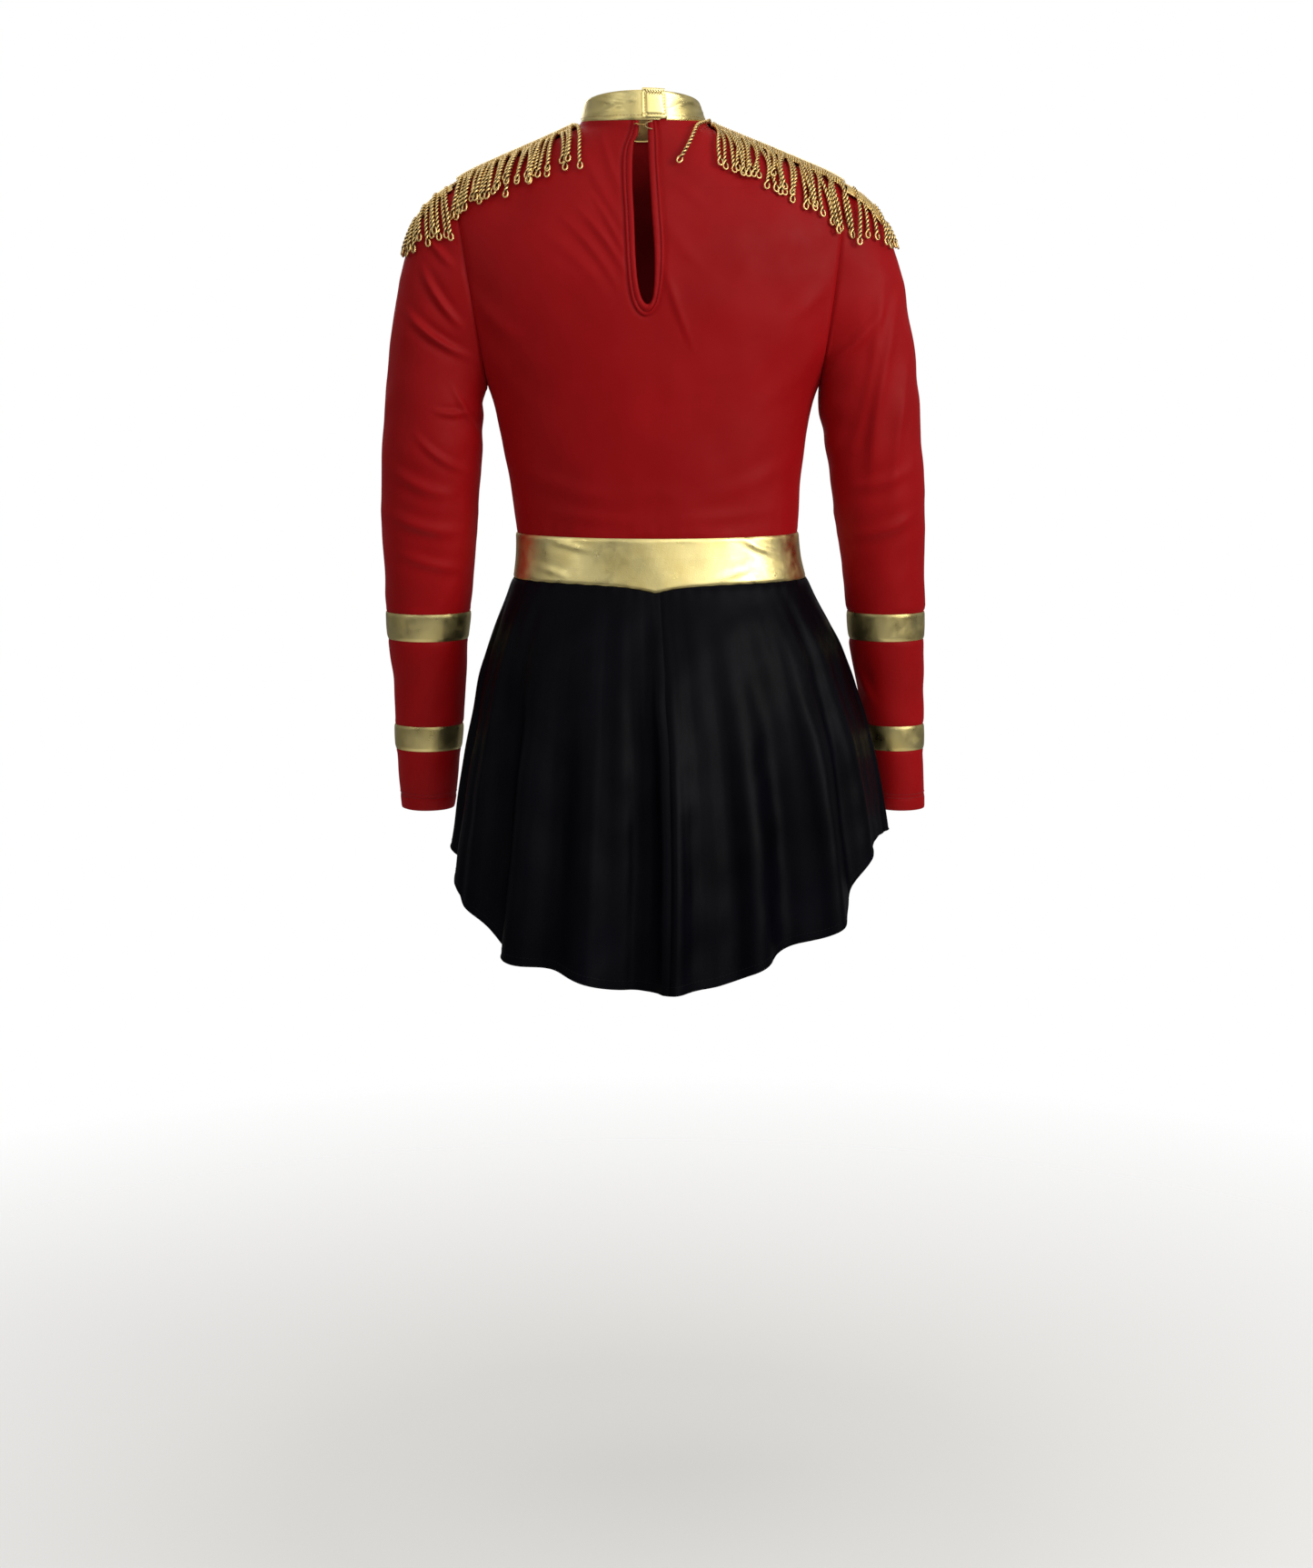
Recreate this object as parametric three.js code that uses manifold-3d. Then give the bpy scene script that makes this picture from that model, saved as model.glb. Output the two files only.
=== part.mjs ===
// Long-sleeved cheer uniform, back fastening: red knit bodice with a back
// keyhole, gold stand collar, gold bullion fringe epaulettes, gold waistband,
// black handkerchief-hem skirt with built-in brief, striped sleeves.
// Units mm, +Z up, the wearer faces -Y, the wearer's left is +X.
import * as THREE from 'three';
import Module from 'manifold-3d';

// ---- driving dimensions -------------------------------------------------
const CLOTH = 1.4;            // thickness of the fabric solids
const GAP = 0.35;             // clearance between pieces sewn together
const COLLAR_TOP_BACK = 21;   // collar edge height at the centre back
const WAIST_TOP = -390;       // upper edge of the waistband
const WAIST_BOTTOM = -433;    // lower edge of the waistband at the sides
const WAIST_V = 8;            // drop of the waistband point at the centre back
const ARM_TOP = -67;          // shoulder point
const ARM_BOTTOM = -252;      // underarm point
const STRIPE1 = [-469, -496]; // upper sleeve stripe
const STRIPE2 = [-582, -607]; // lower sleeve stripe
const SLEEVE_END = -668;      // cuff edge
const ELBOW_TOP = -306;
const ELBOW_BOTTOM = -426;
const FRINGE_LEN = 70;        // longest cords of the bullion fringe, over the curve of the shoulder
const TIP_LEN = 46;           // cords round the end of the braid, over the sleeve

// level, centre x, half width, back depth, front depth
const TORSO = [
  [-5, 9.5, 58.5, 57, 58], [-12, 8.8, 63, 59, 59], [-18, 8, 76, 60.5, 60],
  [-26, 7, 95, 63, 62], [-45, 5.6, 141, 69, 67], [-57, 4.6, 168, 73, 72],
  [-67, 3.8, 184, 76, 77], [-80, 3, 196, 80, 82], [-100, 2.2, 203, 86, 90],
  [-140, 1, 204, 92, 104], [-180, 0.3, 195, 93.5, 112], [-220, 0, 176, 92, 114],
  [-252, 0, 157.4, 90, 111], [-268, 0, 151.6, 88.5, 109], [-295, -0.5, 145.8, 86, 104],
  [-320, -1.2, 142, 84, 99.5], [-346, -2, 138.4, 82.2, 95], [-372, -3, 136.4, 81, 91],
  [-390, -3.7, 134.8, 80.6, 89], [-412, -4.6, 135.6, 81.5, 88], [-434, -6, 140, 84, 89]];
// level, outer x, inner x, centre y : sleeve below the underarm, both sides
const SLEEVE_L = [
  [-269, 256, 162.5, -1], [-309, 259.8, 163.4, -4], [-343, 261, 166.4, -7], [-370, 261.6, 168, -10],
  [-406, 261, 171.2, -16], [-442, 260.3, 174.6, -22], [-470, 260, 177.8, -27], [-501, 258.3, 181.2, -32],
  [-542, 255.1, 184, -39], [-585, 254.6, 187.6, -46], [-617, 253.8, 191, -51], [-668, 251, 198, -59]];
const SLEEVE_R = [
  [-269, -253.6, -157.6, -1], [-309, -257, -165.3, -4], [-343, -259.3, -170, -7], [-370, -260.8, -173.2, -10],
  [-406, -261.8, -180, -16], [-442, -262.8, -185.2, -22], [-470, -263.5, -188.4, -27], [-501, -263.6, -191.7, -32],
  [-542, -264.6, -199.6, -39], [-585, -266, -207.8, -46], [-617, -266.9, -212, -51], [-668, -268.4, -219.6, -59]];
// crown of the sleeve, outer point and underarm point, as offsets for +X
const CROWN = [
  [187.8, -67, 157.4, -252], [203, -77, 157.9, -255], [219, -95, 158.4, -257.5], [231, -120, 159, -260],
  [241, -153, 160, -262.5], [247.5, -190, 161, -265], [252.5, -228, 161.8, -267], [256, -269, 162.5, -269]];
// drop below the waist, centre x, half width, back depth, front depth
const SKIRT = [
  [0, -6, 141.5, 85.5, 90.5], [17, -7, 148.5, 92, 94], [44, -8.7, 161.5, 104, 100], [70, -10.4, 173, 114, 106],
  [97, -11, 182.5, 122, 111], [137, -14, 195, 133, 118], [190, -15.5, 209, 145, 127], [250, -16.5, 220, 156, 137],
  [310, -16, 228, 164, 146], [380, -14, 234, 170, 153]];
// angle from the centre back or front, hem height
const HEM = [
  [0, -803], [14, -797], [20, -788], [31, -770], [42, -759], [52, -744], [60, -723], [70, -705], [80, -694], [90, -684]];

// ---- curve helpers ------------------------------------------------------
const lerp = (a, b, t) => a + (b - a) * t;
const ss = (a, b, x) => { const t = Math.min(1, Math.max(0, (x - a) / (b - a))); return t * t * (3 - 2 * t); };
const spow = (v, p) => Math.sign(v) * Math.pow(Math.abs(v), p);
// smooth interpolation of a table sorted by its first column, either direction
function table(T, x, col) {
  const dir = T[1][0] > T[0][0] ? 1 : -1, n = T.length;
  if ((x - T[0][0]) * dir <= 0) return T[0][col];
  if ((x - T[n - 1][0]) * dir >= 0) return T[n - 1][col];
  let i = 0;
  while ((x - T[i + 1][0]) * dir > 0) i++;
  const sl = k => (T[k + 1][col] - T[k][col]) / (T[k + 1][0] - T[k][0]);
  const h = T[i + 1][0] - T[i][0], t = (x - T[i][0]) / h;
  const m0 = i > 0 ? (sl(i - 1) + sl(i)) / 2 : sl(i);
  const m1 = i < n - 2 ? (sl(i) + sl(i + 1)) / 2 : sl(i);
  const t2 = t * t, t3 = t2 * t;
  return (2 * t3 - 3 * t2 + 1) * T[i][col] + (t3 - 2 * t2 + t) * h * m0 + (-2 * t3 + 3 * t2) * T[i + 1][col] + (t3 - t2) * h * m1;
}

// ---- the bodice surface -------------------------------------------------
const armPlane = z => 184 - (ARM_TOP - z) * 0.1438;
function torso(th, L) {
  const cx = table(TORSO, L, 1), w = table(TORSO, L, 2);
  const s = Math.sin(th), y = s * table(TORSO, L, s >= 0 ? 3 : 4);
  const dip = y < 0 ? -0.0048 * y * y * (1 - ss(-5, -150, L)) * (L > -150 ? 1 : 0) : 0;
  return new THREE.Vector3(cx + w * Math.cos(th), y, L + dip);
}
// angle at which the panel ends at the armhole
function armAngle(L) {
  if (L >= ARM_TOP || L <= ARM_BOTTOM) return 0;
  const r = armPlane(L) / table(TORSO, L, 2);
  return r >= 1 ? 0 : Math.acos(r);
}
function grid(nu, nv, f) {
  const rows = [];
  for (let i = 0; i <= nv; i++) {
    const row = [];
    for (let j = 0; j <= nu; j++) row.push(f(j / nu, i / nv));
    rows.push(row);
  }
  return rows;
}
// normals of a grid; wrap joins the last column to the first
function normals(rows, wrap) {
  const nv = rows.length, nu = rows[0].length;
  return rows.map((row, i) => row.map((p, j) => {
    const a = wrap ? row[(j + 1) % nu] : row[Math.min(nu - 1, j + 1)];
    const b = wrap ? row[(j - 1 + nu) % nu] : row[Math.max(0, j - 1)];
    const c = rows[Math.min(nv - 1, i + 1)][j], d = rows[Math.max(0, i - 1)][j];
    return a.clone().sub(b).cross(c.clone().sub(d)).normalize();
  }));
}
// closed cloth solid around a grid: out and inn are distances along the normal
function cloth(rows, wrap, out, inn, flip = 1) {
  const N = normals(rows, wrap), nv = rows.length, nu = rows[0].length;
  const pos = [], idx = [];
  const at = (i, j, side) => ((side * nv + i) * nu + (wrap ? (j + nu) % nu : j));
  for (const s of [out, inn]) for (let i = 0; i < nv; i++) for (let j = 0; j < nu; j++) {
    const q = rows[i][j].clone().addScaledVector(N[i][j], s * flip);
    pos.push(q.x, q.y, q.z);
  }
  const quad = (a, b, c, d) => idx.push(a, b, c, a, c, d);
  const ju = wrap ? nu : nu - 1;
  for (let i = 0; i < nv - 1; i++) for (let j = 0; j < ju; j++) {
    quad(at(i, j, 0), at(i, j + 1, 0), at(i + 1, j + 1, 0), at(i + 1, j, 0));
    quad(at(i, j, 1), at(i + 1, j, 1), at(i + 1, j + 1, 1), at(i, j + 1, 1));
  }
  for (let j = 0; j < ju; j++) {
    quad(at(0, j + 1, 0), at(0, j, 0), at(0, j, 1), at(0, j + 1, 1));
    quad(at(nv - 1, j, 0), at(nv - 1, j + 1, 0), at(nv - 1, j + 1, 1), at(nv - 1, j, 1));
  }
  if (!wrap) for (let i = 0; i < nv - 1; i++) {
    quad(at(i, 0, 0), at(i + 1, 0, 0), at(i + 1, 0, 1), at(i, 0, 1));
    quad(at(i + 1, nu - 1, 0), at(i, nu - 1, 0), at(i, nu - 1, 1), at(i + 1, nu - 1, 1));
  }
  return solid(pos, idx);
}
function solid(pos, idx) {
  let v = 0;
  for (let k = 0; k < idx.length; k += 3) {
    const [a, b, c] = [idx[k] * 3, idx[k + 1] * 3, idx[k + 2] * 3];
    v += pos[a] * (pos[b + 1] * pos[c + 2] - pos[b + 2] * pos[c + 1]) - pos[a + 1] * (pos[b] * pos[c + 2] - pos[b + 2] * pos[c]) + pos[a + 2] * (pos[b] * pos[c + 1] - pos[b + 1] * pos[c]);
  }
  if (v < 0) for (let k = 0; k < idx.length; k += 3) { const t = idx[k]; idx[k] = idx[k + 1]; idx[k + 1] = t; }
  const g = new THREE.BufferGeometry();
  g.setAttribute('position', new THREE.Float32BufferAttribute(pos, 3));
  g.setIndex(idx);
  return g;
}
// pull the boundary rows/columns of a grid inward by a distance
function trim(rows, { top = 0, bottom = 0, start = 0, end = 0 }) {
  const mv = (p, q, d) => { const v = q.clone().sub(p); const l = v.length(); return l > 0 ? p.clone().addScaledVector(v, d / l) : p.clone(); };
  const n = rows.length, R = rows.map(r => r.map(p => p.clone()));
  if (top) R[0] = R[0].map((p, j) => mv(p, rows[1][j], top));
  if (bottom) R[n - 1] = R[n - 1].map((p, j) => mv(p, rows[n - 2][j], bottom));
  for (const r of R) {
    const m = r.length;
    const a = start ? mv(r[0], r[1], start) : r[0], b = end ? mv(r[m - 1], r[m - 2], end) : r[m - 1];
    r[0] = a; r[m - 1] = b;
  }
  return R;
}
const levels = [-5, -14, -26, -45, -67, -78, -105, -145, -190, -228, -252, -295, -342, -389.6];
const lev = (v) => { const k = v * (levels.length - 1), i = Math.min(levels.length - 2, Math.floor(k)); return lerp(levels[i], levels[i + 1], k - i); };
function bodice(back, nu = 16) {
  return grid(nu, levels.length - 1, (u, v) => {
    const L = lev(v), a = armAngle(L);
    const th = back ? lerp(a, Math.PI - a, u) : lerp(-a, -Math.PI + a, u);
    return torso(th, L);
  });
}

// ---- keyhole outline in the X-Z plane ----------------------------------
const KEY_OUT = [[20.5, 6], [20, -12], [27.5, -35], [28.4, -58], [26.5, -90], [25, -120], [21.5, -148], [14.5, -172], [7, -183],
  [1.5, -180], [-5.5, -172], [-9.5, -150], [-10.5, -118], [-8.5, -92], [-5.5, -50], [-4.5, -22], [-3, -8], [-3, 6]];
const KEY_IN = [[13.4, 6], [14, -18], [18.5, -30], [19.4, -62], [17.5, -95], [16, -128], [12.5, -158], [5.5, -176],
  [0.5, -172], [-1.2, -156], [-1.5, -128], [1, -90], [3.5, -50], [4.6, -22], [4.6, 6]];
function prism(outline, grow = 0) {
  const c = new THREE.Vector2(7.5, -80);
  let pts = outline.map(([x, z]) => new THREE.Vector2(x, z));
  // sideways growth of the outline
  if (grow) pts = pts.map((p, i) => {
    const a = pts[(i - 1 + pts.length) % pts.length], b = pts[(i + 1) % pts.length];
    const t = b.clone().sub(a).normalize(); let n = new THREE.Vector2(t.y, -t.x);
    if (n.dot(p.clone().sub(c)) < 0) n.negate();
    if (i === 0 || i === pts.length - 1) n = new THREE.Vector2(Math.sign(p.x - c.x), 0);
    return p.clone().addScaledVector(n, grow);
  });
  const shape = new THREE.Shape(pts);
  const g = new THREE.ExtrudeGeometry(shape, { depth: 110, bevelEnabled: false, curveSegments: 1 });
  g.rotateX(Math.PI / 2);          // outline plane X-Z, extrusion along -Y
  g.translate(0, 150, 0);
  return g;
}

const wasm = await Module(); wasm.setup();
function toManifold(g) {
  const p = g.attributes.position, map = new Map(), verts = [], tris = [];
  const id = i => {
    const k = [p.getX(i), p.getY(i), p.getZ(i)].map(v => Math.round(v * 2e3) / 2e3).join();
    if (!map.has(k)) { map.set(k, verts.length / 3); verts.push(p.getX(i), p.getY(i), p.getZ(i)); }
    return map.get(k);
  };
  const n = g.index ? g.index.count : p.count;
  for (let i = 0; i < n; i += 3) {
    const [a, b, c] = [0, 1, 2].map(o => id(g.index ? g.index.getX(i + o) : i + o));
    if (a !== b && b !== c && a !== c) tris.push(a, b, c);
  }
  return new wasm.Manifold(new wasm.Mesh({ numProp: 3, vertProperties: new Float32Array(verts), triVerts: new Uint32Array(tris) }));
}
function fromManifold(m) {
  const k = m.getMesh(), g = new THREE.BufferGeometry();
  g.setAttribute('position', new THREE.Float32BufferAttribute(Array.from(k.vertProperties), 3));
  g.setIndex(Array.from(k.triVerts));
  return g;
}

// ---- group and materials ------------------------------------------------
const group = new THREE.Group();
group.name = 'cheer_uniform';
const mats = {
  red: [0x8c1419, 0.75, 0], gold: [0xd6c67a, 0.35, 0.9], black: [0x0b0b0f, 0.8, 0],
  bullion: [0xc9a94f, 0.4, 0.8], brass: [0xb8924a, 0.35, 1], elastic: [0x17171a, 0.85, 0], loop: [0xc8b070, 0.9, 0],
};
function add(name, geo, m) {
  const [c, r, k] = mats[m];
  const mat = new THREE.MeshStandardMaterial({ color: c, roughness: r, metalness: k });
  mat.name = m;
  const mesh = new THREE.Mesh(geo, mat);
  mesh.name = name;
  group.add(mesh);
}

// ---- bodice -------------------------------------------------------------
{
  const back = trim(bodice(true), { top: GAP, bottom: GAP, start: GAP, end: GAP });
  const front = trim(bodice(false), { top: GAP, bottom: GAP, start: GAP, end: GAP });
  const shell = toManifold(cloth(back, false, 0, -CLOTH, -1));
  add('bodice_back', fromManifold(shell.subtract(toManifold(prism(KEY_OUT, GAP)))), 'red');
  add('bodice_front', cloth(front, false, 0, -CLOTH), 'red');
  // folded binding round the keyhole, a little thicker than the cloth
  const thick = toManifold(cloth(back, false, 0.7, -CLOTH - 0.7, -1));
  add('keyhole_binding', fromManifold(thick.intersect(toManifold(prism(KEY_OUT)).subtract(toManifold(prism(KEY_IN))))), 'red');
}

// ---- stand collar, open at the centre back ------------------------------
function collar(th, v, off = 0) {
  const cx = lerp(9.5, 10.2, v), w = lerp(58.5, 54, v) + off, d = lerp(57.5, 54, v) + off;
  const x = cx + w * Math.cos(th), y = d * Math.sin(th);
  const base = -4.5 - (y < 0 ? 0.0048 * y * y : 0), top = COLLAR_TOP_BACK - 0.19 * (54 - y);
  return new THREE.Vector3(x, y, lerp(base, top, v));
}
const TAB_A = Math.acos((-11 - 10) / 58), TAB_B = Math.acos((9 - 10) / 58) - 0.0; // tab root and tab tip angles
{
  // from the fold line of the tab, round the front, to the end under the tab
  const rows = grid(26, 2, (u, v) => collar(lerp(TAB_A + 0.012, 2 * Math.PI + TAB_A - 0.1, u), v));
  add('collar_band', cloth(rows, false, 0, -1.8), 'gold');
  const tab = grid(6, 2, (u, v) => collar(lerp(TAB_A, TAB_B - 0.02, u), lerp(0.0, 1.04, v), 4.2));
  add('collar_tab', cloth(tab, false, 0, -1.8, -1), 'gold');
  const loop = grid(4, 1, (u, v) => collar(lerp(TAB_A - 0.13, TAB_B + 0.03, u), lerp(0.2, 0.8, v), 1.35));
  add('collar_loop_patch', cloth(loop, false, 0, -1.0, -1), 'loop');
  const hook = grid(4, 1, (u, v) => collar(lerp(TAB_A - 0.06, TAB_B + 0.03, u), lerp(0.22, 0.82, v), 2.15));
  add('collar_hook_patch', cloth(hook, false, 0, -0.5, -1), 'loop');
}

// ---- neck hook and thread eye at the head of the keyhole ----------------
function wire(points, r, closed = false, seg = 12) {
  const c = new THREE.CatmullRomCurve3(points.map(p => new THREE.Vector3(...p)), closed);
  const g = new THREE.TubeGeometry(c, seg, r, 6, closed);
  if (closed) { g.deleteAttribute('normal'); g.deleteAttribute('uv'); return fromManifold(toManifold(g)); }
  // close both ends with a fan
  const p = Array.from(g.attributes.position.array), idx = [];
  const ring = 7, rings = seg + 1;
  const P = [];
  for (let i = 0; i < rings; i++) for (let j = 0; j < 6; j++) { const k = (i * ring + j) * 3; P.push(p[k], p[k + 1], p[k + 2]); }
  for (let i = 0; i < seg; i++) for (let j = 0; j < 6; j++) {
    const a = i * 6 + j, b = i * 6 + (j + 1) % 6, c2 = a + 6, d = b + 6;
    idx.push(a, c2, b, b, c2, d);
  }
  for (const e of [0, seg]) {
    const base = e * 6; const m = P.length / 3;
    const ctr = c.getPoint(e ? 1 : 0); P.push(ctr.x, ctr.y, ctr.z);
    for (let j = 0; j < 6; j++) e ? idx.push(base + j, m, base + (j + 1) % 6) : idx.push(base + (j + 1) % 6, m, base + j);
  }
  return solid(P, idx);
}
add('neck_hook', wire([[16.5, 62.6, -11], [13.5, 62.9, -11.2], [10.2, 63.1, -11.3], [8.4, 64.6, -11.2], [10.6, 65.6, -11]], 0.6), 'brass');
add('neck_eye', wire([[2.2, 62.6, -8.4], [5.4, 63, -9], [7.6, 63, -11.4], [5.4, 63, -13.8], [2.2, 62.6, -14.4]], 0.5), 'brass');

// ---- waistband ----------------------------------------------------------
const waistV = x => WAIST_V * Math.exp(-Math.abs(x + 2) / 26);
function band(back, off, topZ, botZ, nu = 16) {
  return grid(nu, 2, (u, v) => {
    const th = back ? lerp(0, Math.PI, u) : lerp(0, -Math.PI, u);
    const p = torso(th, lerp(topZ, botZ, v));
    p.z -= waistV(p.x) * (v > 0.4 ? (v - 0.4) / 0.6 : 0);
    const c = new THREE.Vector3(-5, 0, p.z), d = p.clone().sub(c).normalize();
    return p.addScaledVector(d, off);
  });
}
add('waistband_back', cloth(trim(band(true, 0.6, WAIST_TOP, WAIST_BOTTOM), { start: GAP, end: GAP }), false, 0, -1.8, -1), 'gold');
add('waistband_front', cloth(trim(band(false, 0.6, WAIST_TOP, WAIST_BOTTOM), { start: GAP, end: GAP }), false, 0, -1.8), 'gold');
{
  const rows = grid(27, 1, (u, v) => { const th = u * 2 * Math.PI * 27 / 28; const p = torso(th, lerp(-396, -428, v)); const d = new THREE.Vector3(p.x + 5, p.y, 0).normalize(); return p.addScaledVector(d, -3.4); });
  add('waist_elastic', cloth(rows, true, 0, 1.2, 1), 'elastic');
}

// ---- skirt --------------------------------------------------------------
// psi: angle from the centre back (0), +90 at the wearer's left, 180 front
// the hem hangs a little lower behind the left hip and higher behind the right
const hemZ = psi => {
  const q = ((psi * 180 / Math.PI + 180) % 360 + 360) % 360 - 180;
  let a = Math.abs(q);
  if (a > 90) a = 180 - a;
  return table(HEM, a, 1) - 26 * Math.exp(-(((q - 50) / 30) ** 2)) + 18 * Math.exp(-(((q + 70) / 18) ** 2));
};
const folds = (psi) => 0.62 * Math.cos(16 * psi + 0.6 * Math.sin(2 * psi) + 0.35) + 0.38 * Math.cos(9 * psi + 1.2) - 0.1;
function skirt(psi, v) {
  const s = Math.sin(psi), c = Math.cos(psi);
  const z0 = WAIST_BOTTOM - GAP - (c > 0 ? 1 : 1) * waistV(-6 + 141 * s), drop = v * (z0 - hemZ(psi)), t = drop;
  const cx = table(SKIRT, t, 1), w = table(SKIRT, t, 2), d = table(SKIRT, t, c >= 0 ? 3 : 4);
  const amp = 15 * ss(10, 260, t);
  const k = folds(psi);
  // outline of the cone with the folds; narrower where the forearms hang
  const dent = 1 - 0.125 * ss(90, 210, t) * ss(0.12, -0.28, c) * (1 - ss(-0.55, -0.9, c));
  const x = cx + (w * dent + amp * (k - 0.9) * 0.8) * s;
  const y = (d + amp * (k - 0.2)) * c;
  return new THREE.Vector3(x, y, z0 - drop);
}
{
  const H = Math.PI / 2;
  const parts = [['skirt_back_left', 0, H], ['skirt_front_left', H, 2 * H], ['skirt_front_right', 2 * H, 3 * H], ['skirt_back_right', 3 * H, 4 * H]];
  for (const [name, a, b] of parts) {
    const rows = trim(grid(16, 5, (u, v) => skirt(lerp(a, b, u), v)), { start: GAP, end: GAP });
    add(name, cloth(rows, false, 0, -1.2, -1), 'black');
  }
}

// ---- built-in brief -----------------------------------------------------
const BRIEF = [
  [-431, -6, 134, 78.5, 83.5], [-460, -7, 140, 88, 84], [-500, -8, 148, 99, 83], [-540, -9, 152, 104, 81],
  [-575, -9, 150, 103, 77], [-605, -9, 142, 92, 66], [-630, -9, 130, 68, 46], [-645, -9, 120, 36, 26], [-652, -9, 112, 4, 4]];
const legEdge = (z, back) => { const top = -536, k = Math.min(1, Math.max(0, (top - z) / (top + 652))); return k <= 0 ? 0 : (Math.PI / 2 - 0.30) * Math.pow(k, back ? 0.62 : 0.5); };
function brief(back, u, v) {
  const z = lerp(-431, -651, v), e = legEdge(z, back);
  const th = back ? lerp(e, Math.PI - e, u) : lerp(-e, -Math.PI + e, u);
  const cx = table(BRIEF, z, 1), w = table(BRIEF, z, 2), d = table(BRIEF, z, back ? 3 : 4);
  const y = d * Math.sin(th);
  return new THREE.Vector3(cx + w * Math.cos(th), back ? y + 0 : y, z);
}
const BR_B = trim(grid(12, 9, (u, v) => brief(true, u, v)), { start: 0.5, end: 0.5 }), BR_F = trim(grid(12, 9, (u, v) => brief(false, u, v)), { start: 0.5, end: 0.5 });
for (const p of BR_B[9]) p.y = 1.1;
for (const p of BR_F[9]) p.y = -1.1;
add('brief_back', cloth(BR_B, false, 0, -1.2, -1), 'black');
add('brief_front', cloth(BR_F, false, 0, -1.2), 'black');
for (const [side, col, sgn] of [['left', 0, 1], ['right', 12, -1]]) {
  const loop = [];
  const out = (p, d) => new THREE.Vector3(p.x + sgn * d, p.y, p.z - d * 0.9);
  for (let i = 5; i <= 9; i++) loop.push(out(BR_B[i][col], 2.6));
  for (let i = 9; i >= 5; i--) loop.push(out(BR_F[i][col], 2.6));
  loop.push(new THREE.Vector3(-9 + sgn * 154.8, 0, -539));
  add('leg_elastic_' + side, wire(loop.map(p => [p.x, p.y, p.z]), 1.5, true, 22), 'elastic');
}

// ---- sleeves ------------------------------------------------------------
const NS = 16;
// armhole loop of the bodice; phi 0 at the shoulder, pi at the underarm, +phi to the back
function armLoop(side, phi) {
  const L = (ARM_TOP + ARM_BOTTOM) / 2 + (ARM_TOP - ARM_BOTTOM) / 2 * Math.cos(phi), a = armAngle(L);
  const s = Math.sin(phi) >= 0 ? 1 : -1;
  return torso(side > 0 ? s * a : s > 0 ? Math.PI - a : -Math.PI + a, L);
}
function ellipse(O, I, h, yc, phi) {
  return new THREE.Vector3((O[0] + I[0]) / 2 + (O[0] - I[0]) / 2 * Math.cos(phi), yc + h * Math.sin(phi), (O[1] + I[1]) / 2 + (O[1] - I[1]) / 2 * Math.cos(phi));
}
// t 0..1 over the crown of the sleeve, from the armhole to the underarm level
function crown(side, phi, t) {
  const k = t * (CROWN.length - 1), T = CROWN.map((r, i) => [i, ...r]);
  const T0 = [1, 2, 3, 4].map(c => table(T, k, c)), R = side > 0 ? SLEEVE_L[0] : SLEEVE_R[0];
  const mx = x => side > 0 ? x : -x + ss(0, 1, t) * (R[1] + CROWN[7][0]) * ((x - 160) / 96) + ss(0, 1, t) * (R[2] + CROWN[7][2]) * (1 - (x - 160) / 96) + (1 - ss(0, 1, t)) * (x > 170 ? 7 : 1);
  const h = lerp(50, 48.5, ss(0, 1, t)), yc = lerp(-2, -1, t);
  const e = ellipse([mx(T0[0]), T0[1]], [mx(T0[2]), T0[3]], h, yc, phi);
  const k0 = 1 - ss(0, 0.62, t);
  if (k0 > 0) {
    const a = armLoop(side, phi);
    const e0 = ellipse([side > 0 ? 187.8 : -187.8 + 7, -67], [side > 0 ? 157.4 : -157.4 + 1, -252], 50, -2, phi);
    e.addScaledVector(a.sub(e0), k0);
  }
  return e;
}
function sleeve(side, phi, z) {
  const T = side > 0 ? SLEEVE_L : SLEEVE_R, o = table(T, z, 1), i = table(T, z, 2), yc = table(T, z, 3);
  const h = Math.abs(o - i) / 2 * lerp(1.02, 0.96, ss(-300, -640, z));
  return ellipse([o, z], [i, z], h, yc, phi);
}
const ringRow = f => { const r = []; for (let j = 0; j < NS; j++) r.push(f(j / NS * 2 * Math.PI)); return r; };
for (const [side, S] of [[1, 'left'], [-1, 'right']]) {
  const piece = (zs) => zs.map(z => ringRow(phi => sleeve(side, phi, z)));
  const fl = side > 0 ? 1 : -1;
  let cap = [0, 0.1, 0.27, 0.5, 0.75, 1].map(t => ringRow(phi => crown(side, phi, t)));
  cap = trim(cap, { top: GAP + 0.15, bottom: GAP });
  add('sleeve_cap_' + S, cloth(cap, true, 0, -CLOTH, -fl), 'red');
  add('sleeve_upper_' + S, cloth(piece([-269 - GAP, ELBOW_TOP + GAP]), true, 0, -CLOTH, -fl), 'red');
  add('sleeve_elbow_' + S, cloth(piece([ELBOW_TOP - GAP, -336, -366, -396, ELBOW_BOTTOM + GAP]), true, 0, -CLOTH, -fl), 'red');
  add('sleeve_lower_' + S, cloth(piece([ELBOW_BOTTOM - GAP, -447, STRIPE1[0] + GAP]), true, 0, -CLOTH, -fl), 'red');
  add('stripe_upper_' + S, cloth(piece([STRIPE1[0], STRIPE1[1]]), true, 0.4, -CLOTH, -fl), 'gold');
  add('sleeve_mid_' + S, cloth(piece([STRIPE1[1] - GAP, -540, STRIPE2[0] + GAP]), true, 0, -CLOTH, -fl), 'red');
  add('stripe_lower_' + S, cloth(piece([STRIPE2[0], STRIPE2[1]]), true, 0.4, -CLOTH, -fl), 'gold');
  add('cuff_' + S, cloth(piece([STRIPE2[1] - GAP, -640, SLEEVE_END]), true, 0, -CLOTH, -fl), 'red');
}

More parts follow.
